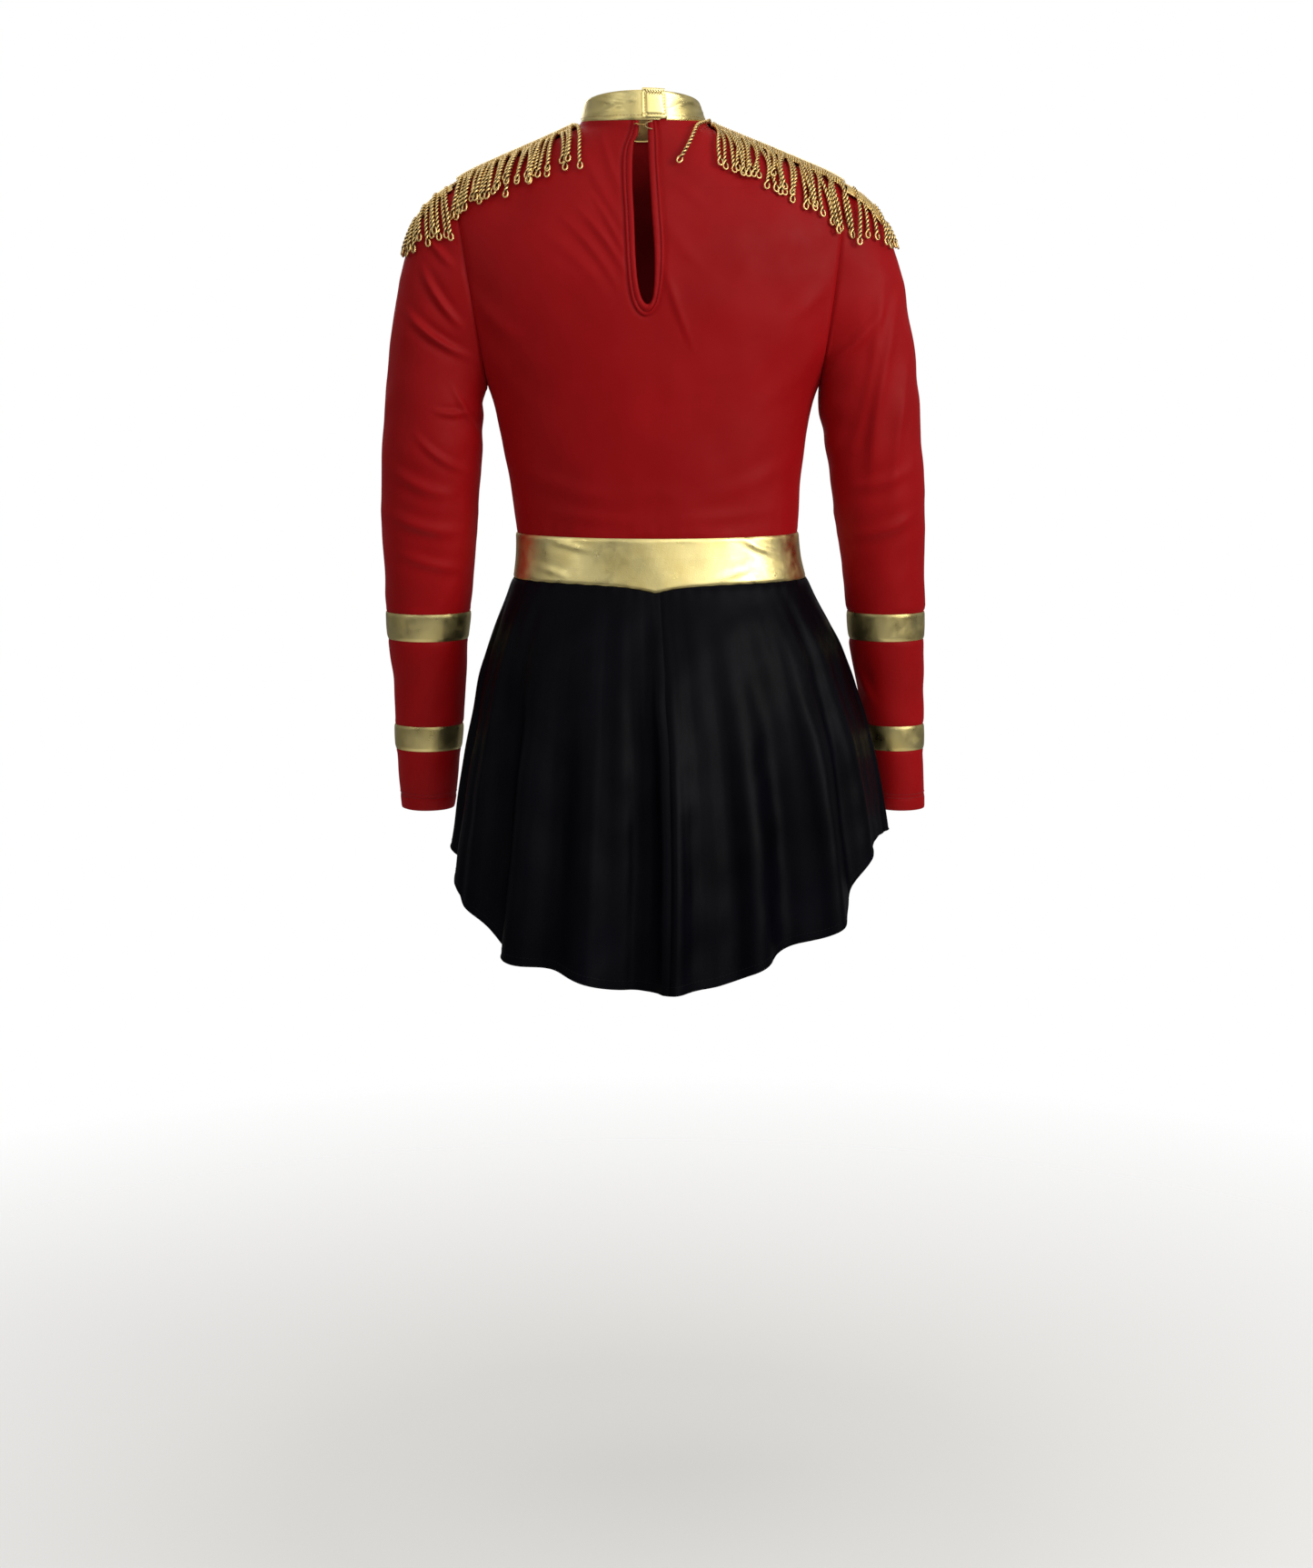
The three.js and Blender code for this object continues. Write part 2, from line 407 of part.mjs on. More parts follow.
// ---- fringe epaulettes --------------------------------------------------
// shoulder crest of the bodice at a given distance from the centre
function crestLevel(side, x) {
  let lo = -5, hi = ARM_TOP;
  for (let k = 0; k < 40; k++) { const m = (lo + hi) / 2; const p = table(TORSO, m, 1) + side * table(TORSO, m, 2); if (side * (p - x) < 0) lo = m; else hi = m; }
  return (lo + hi) / 2;
}
// point on the bodice at distance d down from the crest, s = +1 back, -1 front
function shoulderPoint(side, x, d, s) {
  let L = crestLevel(side, x) - 0.02, p = null, q = null, len = 0;
  const P = (l) => { const cx = table(TORSO, l, 1), w = table(TORSO, l, 2); const c = Math.max(-1, Math.min(1, (x - cx) / w)); return torso(s * Math.acos(c), l); };
  p = P(L);
  if (d <= 0) return p;
  for (let k = 0; k < 4000; k++) {
    L -= 0.05; q = P(L); len += q.distanceTo(p); p = q;
    if (len >= d) return q;
  }
  return q;
}
for (const [side, S] of [[1, 'left'], [-1, 'right']]) {
  const x0 = side > 0 ? 76 : -58, x1 = side > 0 ? 178 : -172;
  // braid header along the crest and over the first part of the sleeve crown
  const path = [];
  for (let k = 0; k <= 8; k++) path.push(lerp(x0, x1, k / 8));
  const head = [];
  for (const d of [4, 0, -4]) {
    const row = path.map(x => shoulderPoint(side, x, Math.abs(d), d >= 0 ? 1 : -1));
    for (const t of [0.04, 0.1, 0.17, 0.24, 0.3]) row.push(crown(side, d / 50, t));
    head.push(row);
  }
  const N = head.map(r => r.map(() => new THREE.Vector3(0, 0, 1)));
  const base = normals(head, false).map(r => r.map(n => n.z < 0 ? n.negate() : n));
  const lifted = head.map((r, i) => r.map((p, j) => p.clone().addScaledVector(base[i][j], 2.2)));
  const sg = normals(lifted, false)[1][3].z > 0 ? 1 : -1;
  add('epaulette_braid_' + S, cloth(lifted, false, 2.0, 0, sg), 'bullion');
  for (const [s, W] of [[1, 'back'], [-1, 'front']]) {
    // the cords get shorter towards the sleeve, more so on the left shoulder
    const taper = side > 0 ? 0.8 : 0.96;
    const rows = [5.2, 15, 28, 46, FRINGE_LEN].map(d => {
      const r = [];
      for (let k = 0; k <= 6; k++) r.push(shoulderPoint(side, lerp(x0, x1, k / 6) - side * 0.03 * d * k / 6, 5.2 + (d - 5.2) * lerp(1, taper, k / 6), s));
      return r;
    });
    const n = normals(rows, false)[2][4], up = n.y * s > 0 ? 1 : -1;
    add('fringe_' + W + '_' + S, cloth(rows, false, 5.6, 2.8, up), 'bullion');
  }
  // strands round the end of the braid, over the sleeve crown
  const cols = 10, tip = [];
  for (const d of [5.4, 18, 31, TIP_LEN]) {
    const r = [];
    for (let k = 0; k <= cols; k++) {
      const a = lerp(-1, 1, k / cols), e = Math.max(0, 1 - Math.abs(a) * 1.25);
      const t0 = 0.06 + 0.262 * (1 - Math.pow(Math.abs(a), 1.6)), b = spow(Math.sin(a * Math.PI / 2), 0.5), g = Math.sqrt(Math.max(0, Math.cos(a * Math.PI / 2)));
      r.push(crown(side, b * d / 50, Math.min(1, t0 + g * d / 215 + 0.035 * d / TIP_LEN)));
    }
    tip.push(r);
  }
  const nt = normals(tip, false)[2][6], ut = nt.x * side > 0 ? 1 : -1;
  add('fringe_tip_' + S, cloth(tip, false, 5.8, 3.0, ut), 'bullion');
}

export default group;
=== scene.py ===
import math

import bpy
import numpy as np
from mathutils import Matrix, Vector


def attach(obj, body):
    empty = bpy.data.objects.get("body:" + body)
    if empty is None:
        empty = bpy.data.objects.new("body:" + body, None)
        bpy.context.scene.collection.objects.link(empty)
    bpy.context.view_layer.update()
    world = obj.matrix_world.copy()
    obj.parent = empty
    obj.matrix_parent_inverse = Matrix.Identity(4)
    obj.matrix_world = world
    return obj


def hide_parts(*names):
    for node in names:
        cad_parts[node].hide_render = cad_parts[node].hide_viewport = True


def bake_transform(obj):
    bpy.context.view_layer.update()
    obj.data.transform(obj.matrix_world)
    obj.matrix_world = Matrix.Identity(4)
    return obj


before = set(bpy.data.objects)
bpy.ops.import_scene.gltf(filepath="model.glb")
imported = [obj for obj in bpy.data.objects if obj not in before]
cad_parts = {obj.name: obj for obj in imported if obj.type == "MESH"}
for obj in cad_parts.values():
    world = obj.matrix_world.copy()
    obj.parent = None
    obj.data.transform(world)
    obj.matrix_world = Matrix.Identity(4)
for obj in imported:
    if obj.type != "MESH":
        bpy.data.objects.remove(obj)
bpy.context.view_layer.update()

# ======================================================================
# Garment surfaces, in millimetres, the same curves as the CAD solids
# ======================================================================
WAIST_TOP, WAIST_BOTTOM, WAIST_V = -390.0, -433.0, 8.0
ARM_TOP, ARM_BOTTOM = -67.0, -252.0
STRIPE1, STRIPE2, SLEEVE_END = (-469.0, -496.0), (-582.0, -607.0), -668.0
COLLAR_TOP_BACK = 21.0
TORSO = np.array([
    [-5, 9.5, 58.5, 57, 58], [-12, 8.8, 63, 59, 59], [-18, 8, 76, 60.5, 60],
    [-26, 7, 95, 63, 62], [-45, 5.6, 141, 69, 67], [-57, 4.6, 168, 73, 72],
    [-67, 3.8, 184, 76, 77], [-80, 3, 196, 80, 82], [-100, 2.2, 203, 86, 90],
    [-140, 1, 204, 92, 104], [-180, 0.3, 195, 93.5, 112], [-220, 0, 176, 92, 114],
    [-252, 0, 157.4, 90, 111], [-268, 0, 151.6, 88.5, 109], [-295, -0.5, 145.8, 86, 104],
    [-320, -1.2, 142, 84, 99.5], [-346, -2, 138.4, 82.2, 95], [-372, -3, 136.4, 81, 91],
    [-390, -3.7, 134.8, 80.6, 89], [-412, -4.6, 135.6, 81.5, 88], [-434, -6, 140, 84, 89]], float)
SLEEVE = {
    1: np.array([
        [-269, 256, 162.5, -1], [-309, 259.8, 163.4, -4], [-343, 261, 166.4, -7], [-370, 261.6, 168, -10],
        [-406, 261, 171.2, -16], [-442, 260.3, 174.6, -22], [-470, 260, 177.8, -27], [-501, 258.3, 181.2, -32],
        [-542, 255.1, 184, -39], [-585, 254.6, 187.6, -46], [-617, 253.8, 191, -51], [-668, 251, 198, -59]], float),
    -1: np.array([
        [-269, -253.6, -157.6, -1], [-309, -257, -165.3, -4], [-343, -259.3, -170, -7], [-370, -260.8, -173.2, -10],
        [-406, -261.8, -180, -16], [-442, -262.8, -185.2, -22], [-470, -263.5, -188.4, -27], [-501, -263.6, -191.7, -32],
        [-542, -264.6, -199.6, -39], [-585, -266, -207.8, -46], [-617, -266.9, -212, -51], [-668, -268.4, -219.6, -59]], float)}
CROWN = np.array([
    [0, 187.8, -67, 157.4, -252], [1, 203, -77, 157.9, -255], [2, 219, -95, 158.4, -257.5], [3, 231, -120, 159, -260],
    [4, 241, -153, 160, -262.5], [5, 247.5, -190, 161, -265], [6, 252.5, -228, 161.8, -267], [7, 256, -269, 162.5, -269]], float)
SKIRT = np.array([
    [0, -6, 141.5, 85.5, 90.5], [17, -7, 148.5, 92, 94], [44, -8.7, 161.5, 104, 100], [70, -10.4, 173, 114, 106],
    [97, -11, 182.5, 122, 111], [137, -14, 195, 133, 118], [190, -15.5, 209, 145, 127], [250, -16.5, 220, 156, 137],
    [310, -16, 228, 164, 146], [380, -14, 234, 170, 153]], float)
HEM = np.array([
    [0, -803], [14, -797], [20, -788], [31, -770], [42, -759], [52, -744], [60, -723], [70, -705], [80, -694], [90, -684]], float)


def table(T, x, col):
    """Smooth interpolation of a table sorted by its first column."""
    x = np.asarray(x, float)
    X, Y = T[:, 0], T[:, col]
    if X[1] < X[0]:
        X, x = -X, -x
    n = len(X)
    xc = np.clip(x, X[0], X[-1])
    i = np.clip(np.searchsorted(X, xc, side="right") - 1, 0, n - 2)
    d = np.diff(Y) / np.diff(X)
    m = np.empty(n)
    m[1:-1] = (d[:-1] + d[1:]) / 2
    m[0], m[-1] = d[0], d[-1]
    h = X[i + 1] - X[i]
    t = (xc - X[i]) / h
    t2, t3 = t * t, t * t * t
    return (2 * t3 - 3 * t2 + 1) * Y[i] + (t3 - 2 * t2 + t) * h * m[i] + (-2 * t3 + 3 * t2) * Y[i + 1] + (t3 - t2) * h * m[i + 1]


def ss(a, b, x):
    t = np.clip((np.asarray(x, float) - a) / (b - a), 0, 1)
    return t * t * (3 - 2 * t)


def lerp(a, b, t):
    return a + (b - a) * t


def arm_plane(z):
    return 184 - (ARM_TOP - z) * 0.1438


def torso(th, L):
    th, L = np.broadcast_arrays(np.asarray(th, float), np.asarray(L, float))
    s = np.sin(th)
    y = s * np.where(s >= 0, table(TORSO, L, 3), table(TORSO, L, 4))
    dip = np.where(y < 0, -0.0048 * y * y * (1 - ss(-5, -150, L)) * (L > -150), 0)
    return np.stack([table(TORSO, L, 1) + table(TORSO, L, 2) * np.cos(th), y, L + dip], -1)


def arm_angle(L):
    L = np.asarray(L, float)
    r = arm_plane(L) / table(TORSO, L, 2)
    a = np.arccos(np.clip(r, -1, 1))
    return np.where((L >= ARM_TOP) | (L <= ARM_BOTTOM) | (r >= 1), 0, a)


def waist_v(x):
    return WAIST_V * np.exp(-np.abs(x + 2) / 26)


def hem_z(psi):
    q = (np.degrees(psi) + 180) % 360 - 180
    a = np.abs(q)
    a = np.where(a > 90, 180 - a, a)
    # the hem hangs a little lower behind the left hip and higher behind the right
    return table(HEM, a, 1) - 26 * np.exp(-(((q - 50) / 30) ** 2)) + 18 * np.exp(-(((q + 70) / 18) ** 2))


def folds(psi):
    return 0.62 * np.cos(16 * psi + 0.6 * np.sin(2 * psi) + 0.35) + 0.38 * np.cos(9 * psi + 1.2) - 0.1


def arm_loop(side, phi):
    phi = np.asarray(phi, float)
    L = (ARM_TOP + ARM_BOTTOM) / 2 + (ARM_TOP - ARM_BOTTOM) / 2 * np.cos(phi)
    a = arm_angle(L)
    back = np.sin(phi) >= 0
    th = np.where(back, a, -a) if side > 0 else np.where(back, np.pi - a, -np.pi + a)
    return torso(th, L)


def ellipse(Ox, Oz, Ix, Iz, h, yc, phi):
    c, s = np.cos(phi), np.sin(phi)
    return np.stack([(Ox + Ix) / 2 + (Ox - Ix) / 2 * c, yc + h * s, (Oz + Iz) / 2 + (Oz - Iz) / 2 * c], -1)


def crown(side, phi, t):
    phi, t = np.broadcast_arrays(np.asarray(phi, float), np.asarray(t, float))
    k = t * 7
    Ox, Oz, Ix, Iz = (table(CROWN, k, c) for c in (1, 2, 3, 4))
    R = SLEEVE[side][0]

    def mx(x):
        if side > 0:
            return x
        f = (x - 160) / 96
        return -x + ss(0, 1, t) * (R[1] + 256) * f + ss(0, 1, t) * (R[2] + 162.5) * (1 - f) + (1 - ss(0, 1, t)) * np.where(x > 170, 7, 1)

    e = ellipse(mx(Ox), Oz, mx(Ix), Iz, lerp(50, abs(R[1] - R[2]) / 2 * 1.02, ss(0, 1, t)), lerp(-2, -1, t), phi)
    k0 = 1 - ss(0, 0.62, t)
    e0 = ellipse(187.8 if side > 0 else -180.8, -67, 157.4 if side > 0 else -156.4, -252, 50, -2, phi)
    return e + (arm_loop(side, phi) - e0) * k0[..., None]


def sleeve(side, phi, z):
    phi, z = np.broadcast_arrays(np.asarray(phi, float), np.asarray(z, float))
    o, i, yc = (table(SLEEVE[side], z, c) for c in (1, 2, 3))
    h = np.abs(o - i) / 2 * lerp(1.02, 0.96, ss(-300, -640, z))
    return ellipse(o, z, i, z, h, yc, phi)


def collar(th, v, off=0.0):
    th, v = np.broadcast_arrays(np.asarray(th, float), np.asarray(v, float))
    cx, w, d = lerp(9.5, 10.2, v), lerp(58.5, 54, v) + off, lerp(57.5, 54, v) + off
    y = d * np.sin(th)
    base = -4.5 - np.where(y < 0, 0.0048 * y * y, 0)
    top = COLLAR_TOP_BACK - 0.19 * (54 - y)
    return np.stack([cx + w * np.cos(th), y, lerp(base, top, v)], -1)


def skirt(psi, v, fine=1.0):
    psi, v = np.broadcast_arrays(np.asarray(psi, float), np.asarray(v, float))
    s, c = np.sin(psi), np.cos(psi)
    z0 = WAIST_BOTTOM - 0.35 - waist_v(-6 + 141 * s)
    t = v * (z0 - hem_z(psi))
    w = table(SKIRT, t, 2)
    d = np.where(c >= 0, table(SKIRT, t, 3), table(SKIRT, t, 4))
    amp = 15 * ss(10, 260, t)
    k = folds(psi)
    dent = 1 - 0.125 * ss(90, 210, t) * ss(0.12, -0.28, c) * (1 - ss(-0.55, -0.9, c))
    return np.stack([table(SKIRT, t, 1) + (w * dent + amp * (k - 0.9) * 0.8) * s, (d + amp * (k - 0.2)) * c, z0 - t], -1)


# ======================================================================
# Cloth detail: seeded smooth noise and drawn-in creases
# ======================================================================
class Noise:
    """Sum of sines in seeded directions: smooth, cheap and the same every run."""

    def __init__(self, seed, n=14, lo=0.5, hi=1.6):
        r = np.random.default_rng(seed)
        d = r.normal(size=(n, 3))
        self.k = d / np.linalg.norm(d, axis=1)[:, None] * r.uniform(lo, hi, n)[:, None] * 2 * np.pi
        self.p = r.uniform(0, 2 * np.pi, n)
        self.a = 1 / math.sqrt(n)

    def __call__(self, P, scale):
        q = np.asarray(P) / scale
        return np.sin(q @ self.k.T + self.p).sum(-1) * self.a


N1, N2, N3, N4 = Noise(3), Noise(8), Noise(21, 20), Noise(34, 20)


def crease(x, z, W):
    """Height of a set of creases: each is (x1, z1, x2, z2, half width, height, bend)."""
    D = np.zeros_like(x)
    for x1, z1, x2, z2, s, a, b in W:
        dx, dz = x2 - x1, z2 - z1
        l = math.hypot(dx, dz)
        u = ((x - x1) * dx + (z - z1) * dz) / (l * l)
        q = ((x - x1) * -dz + (z - z1) * dx) / l - b * 4 * u * (1 - u)
        env = np.where((u > -0.25) & (u < 1.25), np.sin(np.clip((u + 0.25) / 1.5, 0, 1) * np.pi) ** 1.5, 0)
        D += a * env * (np.exp(-(q / s) ** 2) - 0.45 * np.exp(-((q - 1.9 * s) / (1.3 * s)) ** 2) - 0.45 * np.exp(-((q + 1.9 * s) / (1.3 * s)) ** 2))
    return D


BACK_CREASES = [
    # pulled from the keyhole and the armholes
    (67, -88, 28, -140, 2.8, 0.9, -2), (56, -74, 29, -122, 2.4, 0.8, -1), (80, -98, 34, -156, 3.4, 0.8, -3), (62, -40, 31, -96, 4, 0.7, 2), (47, -22, 32, -66, 3, 0.6, 1), (96, -112, 46, -160, 5, 0.5, -3),
    (-13, -150, -36, -212, 2.6, 0.7, 1),
    (-12, -140, -34, -200, 5, 0.8, 2), (-16, -60, -52, -90, 5, 0.5, -2), (-14, -100, -44, -140, 6, 0.5, 2),
    (172, -160, 128, -205, 7, 1.1, 3), (168, -200, 118, -262, 8, 0.9, 4), (-166, -150, -122, -190, 7, 0.9, -3),
    (-160, -205, -110, -262, 8, 0.8, -4), (120, -330, 40, -352, 7, 0.8, 3), (-130, -320, -52, -350, 7, 0.7, -3),
    (100, -366, 20, -374, 5, 0.6, 1), (-110, -366, -30, -372, 5, 0.6, -1), (40, -352, -30, -352, 8, 0.4, -2)]
FRONT_CREASES = [
    (170, -160, 110, -190, 7, 1.1, -3), (-166, -160, -108, -190, 7, 1.1, 3), (160, -215, 108, -240, 8, 0.9, -3),
    (-156, -215, -106, -240, 8, 0.9, 3), (120, -300, 50, -330, 7, 0.8, 3), (-126, -300, -56, -330, 7, 0.8, -3),
    (90, -362, 10, -370, 5, 0.6, 1), (-100, -362, -20, -370, 5, 0.6, -1), (60, -24, 100, -60, 5, 0.5, 1), (-40, -24, -80, -60, 5, 0.5, -1)]
SLEEVE_CREASES = {
    1: [(228, -185, 180, -220, 5, 1.8, 3), (214, -146, 184, -190, 5, 1.4, 2), (210, -112, 188, -138, 5, 1.0, 1),
        (203, -274, 178, -276, 4, 1.0, 1), (220, -300, 178, -330, 5, 0.9, 3), (186, -255, 168, -292, 4, 0.9, 0),
        (246, -330, 196, -352, 8, 1.0, 3), (250, -372, 190, -388, 8, 1.1, 3), (240, -410, 186, -424, 7, 0.8, 2)],
    -1: [(-231, -172, -206, -325, 8, 1.5, 5), (-214, -160, -190, -300, 7, 0.9, -4), (-163, -232, -210, -186, 7, 1.2, 3),
         (-244, -220, -228, -340, 6, 0.8, 3), (-250, -372, -196, -392, 8, 1.0, -3), (-240, -330, -190, -346, 8, 0.9, -3),
         (-196, -520, -212, -555, 5, 0.7, 1)]}


def seam_dip(d, width=2.2, depth=0.9):
    """Cloth pulled down toward a seam at distance d."""
    return -depth * np.exp(-(d / width) ** 2)


def grid_normals(P, wrap=False):
    if wrap:
        a = np.roll(P, -1, 1) - np.roll(P, 1, 1)
    else:
        a = np.gradient(P, axis=1)
    b = np.gradient(P, axis=0)
    n = np.cross(a, b)
    l = np.linalg.norm(n, axis=-1, keepdims=True)
    return n / np.maximum(l, 1e-9)


def arc(P, axis):
    d = np.linalg.norm(np.diff(P, axis=axis), axis=-1)
    z = np.zeros_like(np.take(d, [0], axis=axis))
    return np.concatenate([z, np.cumsum(d, axis=axis)], axis=axis)


# ======================================================================
# Mesh helpers
# ======================================================================
def make_mesh(name, verts_mm, faces, uv=None, smooth=True, sharp=50, luv=None):
    me = bpy.data.meshes.new(name)
    me.from_pydata((np.asarray(verts_mm) / 1000.0).tolist(), [], faces if isinstance(faces, list) else faces.tolist())
    me.update()
    if uv is not None:
        lay = me.uv_layers.new(name="UVMap")
        idx = np.empty(len(me.loops), np.int32)
        me.loops.foreach_get("vertex_index", idx)
        lay.data.foreach_set("uv", np.asarray(uv, float)[idx].ravel())
    if luv is not None:
        lay = me.uv_layers.new(name="UVMap")
        lay.data.foreach_set("uv", np.asarray(luv, float).ravel())
    me.polygons.foreach_set("use_smooth", [smooth] * len(me.polygons))
    if smooth and sharp:
        me.set_sharp_from_angle(angle=math.radians(sharp))
    o = bpy.data.objects.new(name, me)
    bpy.context.collection.objects.link(o)
    return o


def quads(nv, nu, wrap, base=0, flip=False):
    i, j = np.meshgrid(np.arange(nv - 1), np.arange(nu if wrap else nu - 1), indexing="ij")
    j2 = (j + 1) % nu
    a, b, c, d = i * nu + j, i * nu + j2, (i + 1) * nu + j2, (i + 1) * nu + j
    q = np.stack([a, b, c, d] if not flip else [a, d, c, b], -1).reshape(-1, 4) + base
    return q


def facing(P, wrap=False):
    """+1 or -1 so that grid normals point away from the middle of the piece's hollow."""
    N = grid_normals(P, wrap)
    c = P.mean(1, keepdims=True) if wrap else np.stack([np.zeros_like(P[..., 0]), np.zeros_like(P[..., 0]), P[..., 2]], -1)
    return 1.0 if float((N * (P - c)).sum()) > 0 else -1.0


def shell(name, P, out=None, wrap=False, thick=0.8, mat=None, uvs=0.001, keep=None, sharp=50, mat_in=None, nrm=None, vlen=0.0):
    """Closed cloth from a grid of points; out is +1 or -1 so that normals face outward. keep masks faces."""
    if out is None:
        out = facing(P, wrap)
    nv, nu = P.shape[:2]
    N = grid_normals(P, wrap) * out
    inner = P - N * thick
    V = np.concatenate([P.reshape(-1, 3), inner.reshape(-1, 3)])
    n = nv * nu
    Fo, Fi = quads(nv, nu, wrap, 0, out < 0), quads(nv, nu, wrap, n, out > 0)
    if keep is not None:
        k = keep.reshape(-1)
        Fo, Fi = Fo[k], Fi[k]
    # rim: every edge used once by the outer sheet
    E = np.concatenate([Fo[:, [0, 1]], Fo[:, [1, 2]], Fo[:, [2, 3]], Fo[:, [3, 0]]])
    key = np.sort(E, 1)
    _, inv, cnt = np.unique(key[:, 0].astype(np.int64) * (2 * n) + key[:, 1], return_inverse=True, return_counts=True)
    inv = inv.reshape(-1)
    B = E[cnt[inv] == 1]
    rim = np.stack([B[:, 1], B[:, 0], B[:, 0] + n, B[:, 1] + n], -1)
    F = np.concatenate([Fo, Fi, rim])
    used = np.unique(F)
    mp = np.full(2 * n, -1)
    mp[used] = np.arange(len(used))
    Pw = np.concatenate([P, P[:, :1]], 1) if wrap else P
    U, Vv = arc(Pw, 1), arc(Pw, 0)
    full = U[:, -1] if wrap else None
    U, Vv = U[:, :nu], Vv[:, :nu]
    if not wrap:
        U = U - U[:, [nu // 2]]
    uv = np.stack([U.reshape(-1), Vv.reshape(-1)], -1)
    uv = np.concatenate([uv, uv])
    luv = uv[F]
    if wrap:
        row = (F % n) // nu
        col = F % nu
        last = (col.max(1) == nu - 1) & (col.min(1) == 0)
        m = last[:, None] & (col == 0)
        luv[..., 0] = np.where(m, full[row], luv[..., 0])
    luv[..., 1] += vlen
    o = make_mesh(name, V[used], mp[F], luv=luv.reshape(-1, 2) * uvs, sharp=sharp)
    if nrm is not None:
        nn = np.concatenate([nrm.reshape(-1, 3), -nrm.reshape(-1, 3)])[F]
        nn[len(Fo) + len(Fi):] = 0.0
        o.data.normals_split_custom_set([tuple(q) for q in nn.reshape(-1, 3).tolist()])
    if mat:
        o.data.materials.append(mat)
    if mat_in:
        o.data.materials.append(mat_in)
        mi = np.zeros(len(F), np.int32)
        mi[len(Fo):len(Fo) + len(Fi)] = 1
        o.data.polygons.foreach_set("material_index", mi)
    return o


def frames(C):
    """Rotation-minimising frames along a centre line C (n, 3)."""
    T = np.gradient(C, axis=0)
    T /= np.linalg.norm(T, axis=1)[:, None]
    up = np.array([0, 0, 1.0]) if abs(T[0, 2]) < 0.9 else np.array([1.0, 0, 0])
    A = np.empty_like(T)
    a = np.cross(T[0], up)
    A[0] = a / np.linalg.norm(a)
    for i in range(1, len(T)):
        a = A[i - 1] - T[i] * np.dot(A[i - 1], T[i])
        A[i] = a / np.linalg.norm(a)
    return T, A, np.cross(T, A)


def tube_arrays(C, r, sides=6, closed=False):
    C = np.asarray(C, float)
    n = len(C)
    T, A, B = frames(C)
    if closed:
        # spread the frame's closing twist
        ang = math.atan2(np.dot(A[-1], B[0]), np.dot(A[-1], A[0]))
        tw = -ang * np.arange(n) / n
        A, B = A * np.cos(tw)[:, None] + B * np.sin(tw)[:, None], B * np.cos(tw)[:, None] - A * np.sin(tw)[:, None]
    th = np.arange(sides) / sides * 2 * np.pi
    r = np.broadcast_to(np.asarray(r, float), (n,))
    V = C[:, None, :] + (A[:, None, :] * np.cos(th)[None, :, None] + B[:, None, :] * np.sin(th)[None, :, None]) * r[:, None, None]
    V = V.reshape(-1, 3)
    F = []
    m = n if closed else n - 1
    i, j = np.meshgrid(np.arange(m), np.arange(sides), indexing="ij")
    i2, j2 = (i + 1) % n, (j + 1) % sides
    F = np.stack([i * sides + j, i * sides + j2, i2 * sides + j2, i2 * sides + j], -1).reshape(-1, 4)
    F = F.tolist()
    if not closed:
        V = np.concatenate([V, C[:1] - T[:1] * r[0] * 0.6, C[-1:] + T[-1:] * r[-1] * 0.6])
        a, b = len(V) - 2, len(V) - 1
        for k in range(sides):
            F.append([(k + 1) % sides, k, a])
            F.append([(n - 1) * sides + k, (n - 1) * sides + (k + 1) % sides, b])
    return V, F


class Soup:
    """Many small closed pieces gathered in one mesh."""

    def __init__(self):
        self.V, self.F, self.n, self.uv = [], [], 0, []

    def add(self, V, F, uv=None):
        self.V.append(np.asarray(V))
        self.uv.append(np.ones((len(V), 2)) if uv is None else uv)
        self.F += [[k + self.n for k in f] for f in F]
        self.n += len(V)

    def make(self, name, mat, sharp=None):
        o = make_mesh(name, np.concatenate(self.V), self.F, uv=np.concatenate(self.uv), sharp=sharp)
        o.data.materials.append(mat)
        return o


def ply_shade_uv(V, centres, n, sides, lo, hi):
    """UV whose second coordinate runs from 0 in the valley between two plies to 1 on their backs; the cord material
    paints shade where it is low.
    """
    c = np.concatenate([np.repeat(centres, sides, axis=0), centres[:1], centres[-1:]])
    q = ss(lo, hi, np.linalg.norm(V - c, axis=1))
    q[-2:] = 1.0
    u = np.concatenate([np.repeat(np.arange(n), sides) * 0.001, [0, n * 0.001]])
    return np.stack([u, q], 1)


def resample(C, step):
    C = np.asarray(C, float)
    d = np.concatenate([[0], np.cumsum(np.linalg.norm(np.diff(C, axis=0), axis=1))])
    n = max(2, int(round(d[-1] / step)) + 1)
    s = np.linspace(0, d[-1], n)
    return np.stack([np.interp(s, d, C[:, k]) for k in range(3)], 1)


def stitches(soup, C, length=2.6, gap=1.1, r=0.32, lift=0.0):
    """Running stitches along a line of points."""
    C = np.asarray(C, float)
    d = np.concatenate([[0], np.cumsum(np.linalg.norm(np.diff(C, axis=0), axis=1))])
    s = 0.0
    while s + length < d[-1]:
        q = np.linspace(s, s + length, 5)
        P = np.stack([np.interp(q, d, C[:, k]) for k in range(3)], 1)
        soup.add(*tube_arrays(P, [r * 0.35, r, r, r, r * 0.35], 5))
        s += length + gap


# ======================================================================
# Materials
# ======================================================================
def new_mat(name, base, rough, metal=0.0, sheen=0.0, sheen_rough=0.5, spec=0.5, coat=0.0, sheen_tint=None):
    m = bpy.data.materials.new(name)
    m.use_nodes = True
    nt = m.node_tree
    b = nt.nodes["Principled BSDF"]
    b.inputs["Base Color"].default_value = (*base, 1)
    b.inputs["Roughness"].default_value = rough
    b.inputs["Metallic"].default_value = metal
    b.inputs["Sheen Weight"].default_value = sheen
    b.inputs["Sheen Roughness"].default_value = sheen_rough
    if sheen_tint:
        b.inputs["Sheen Tint"].default_value = (*sheen_tint, 1)
    b.inputs["Specular IOR Level"].default_value = spec
    b.inputs["Coat Weight"].default_value = coat
    return m, nt, b


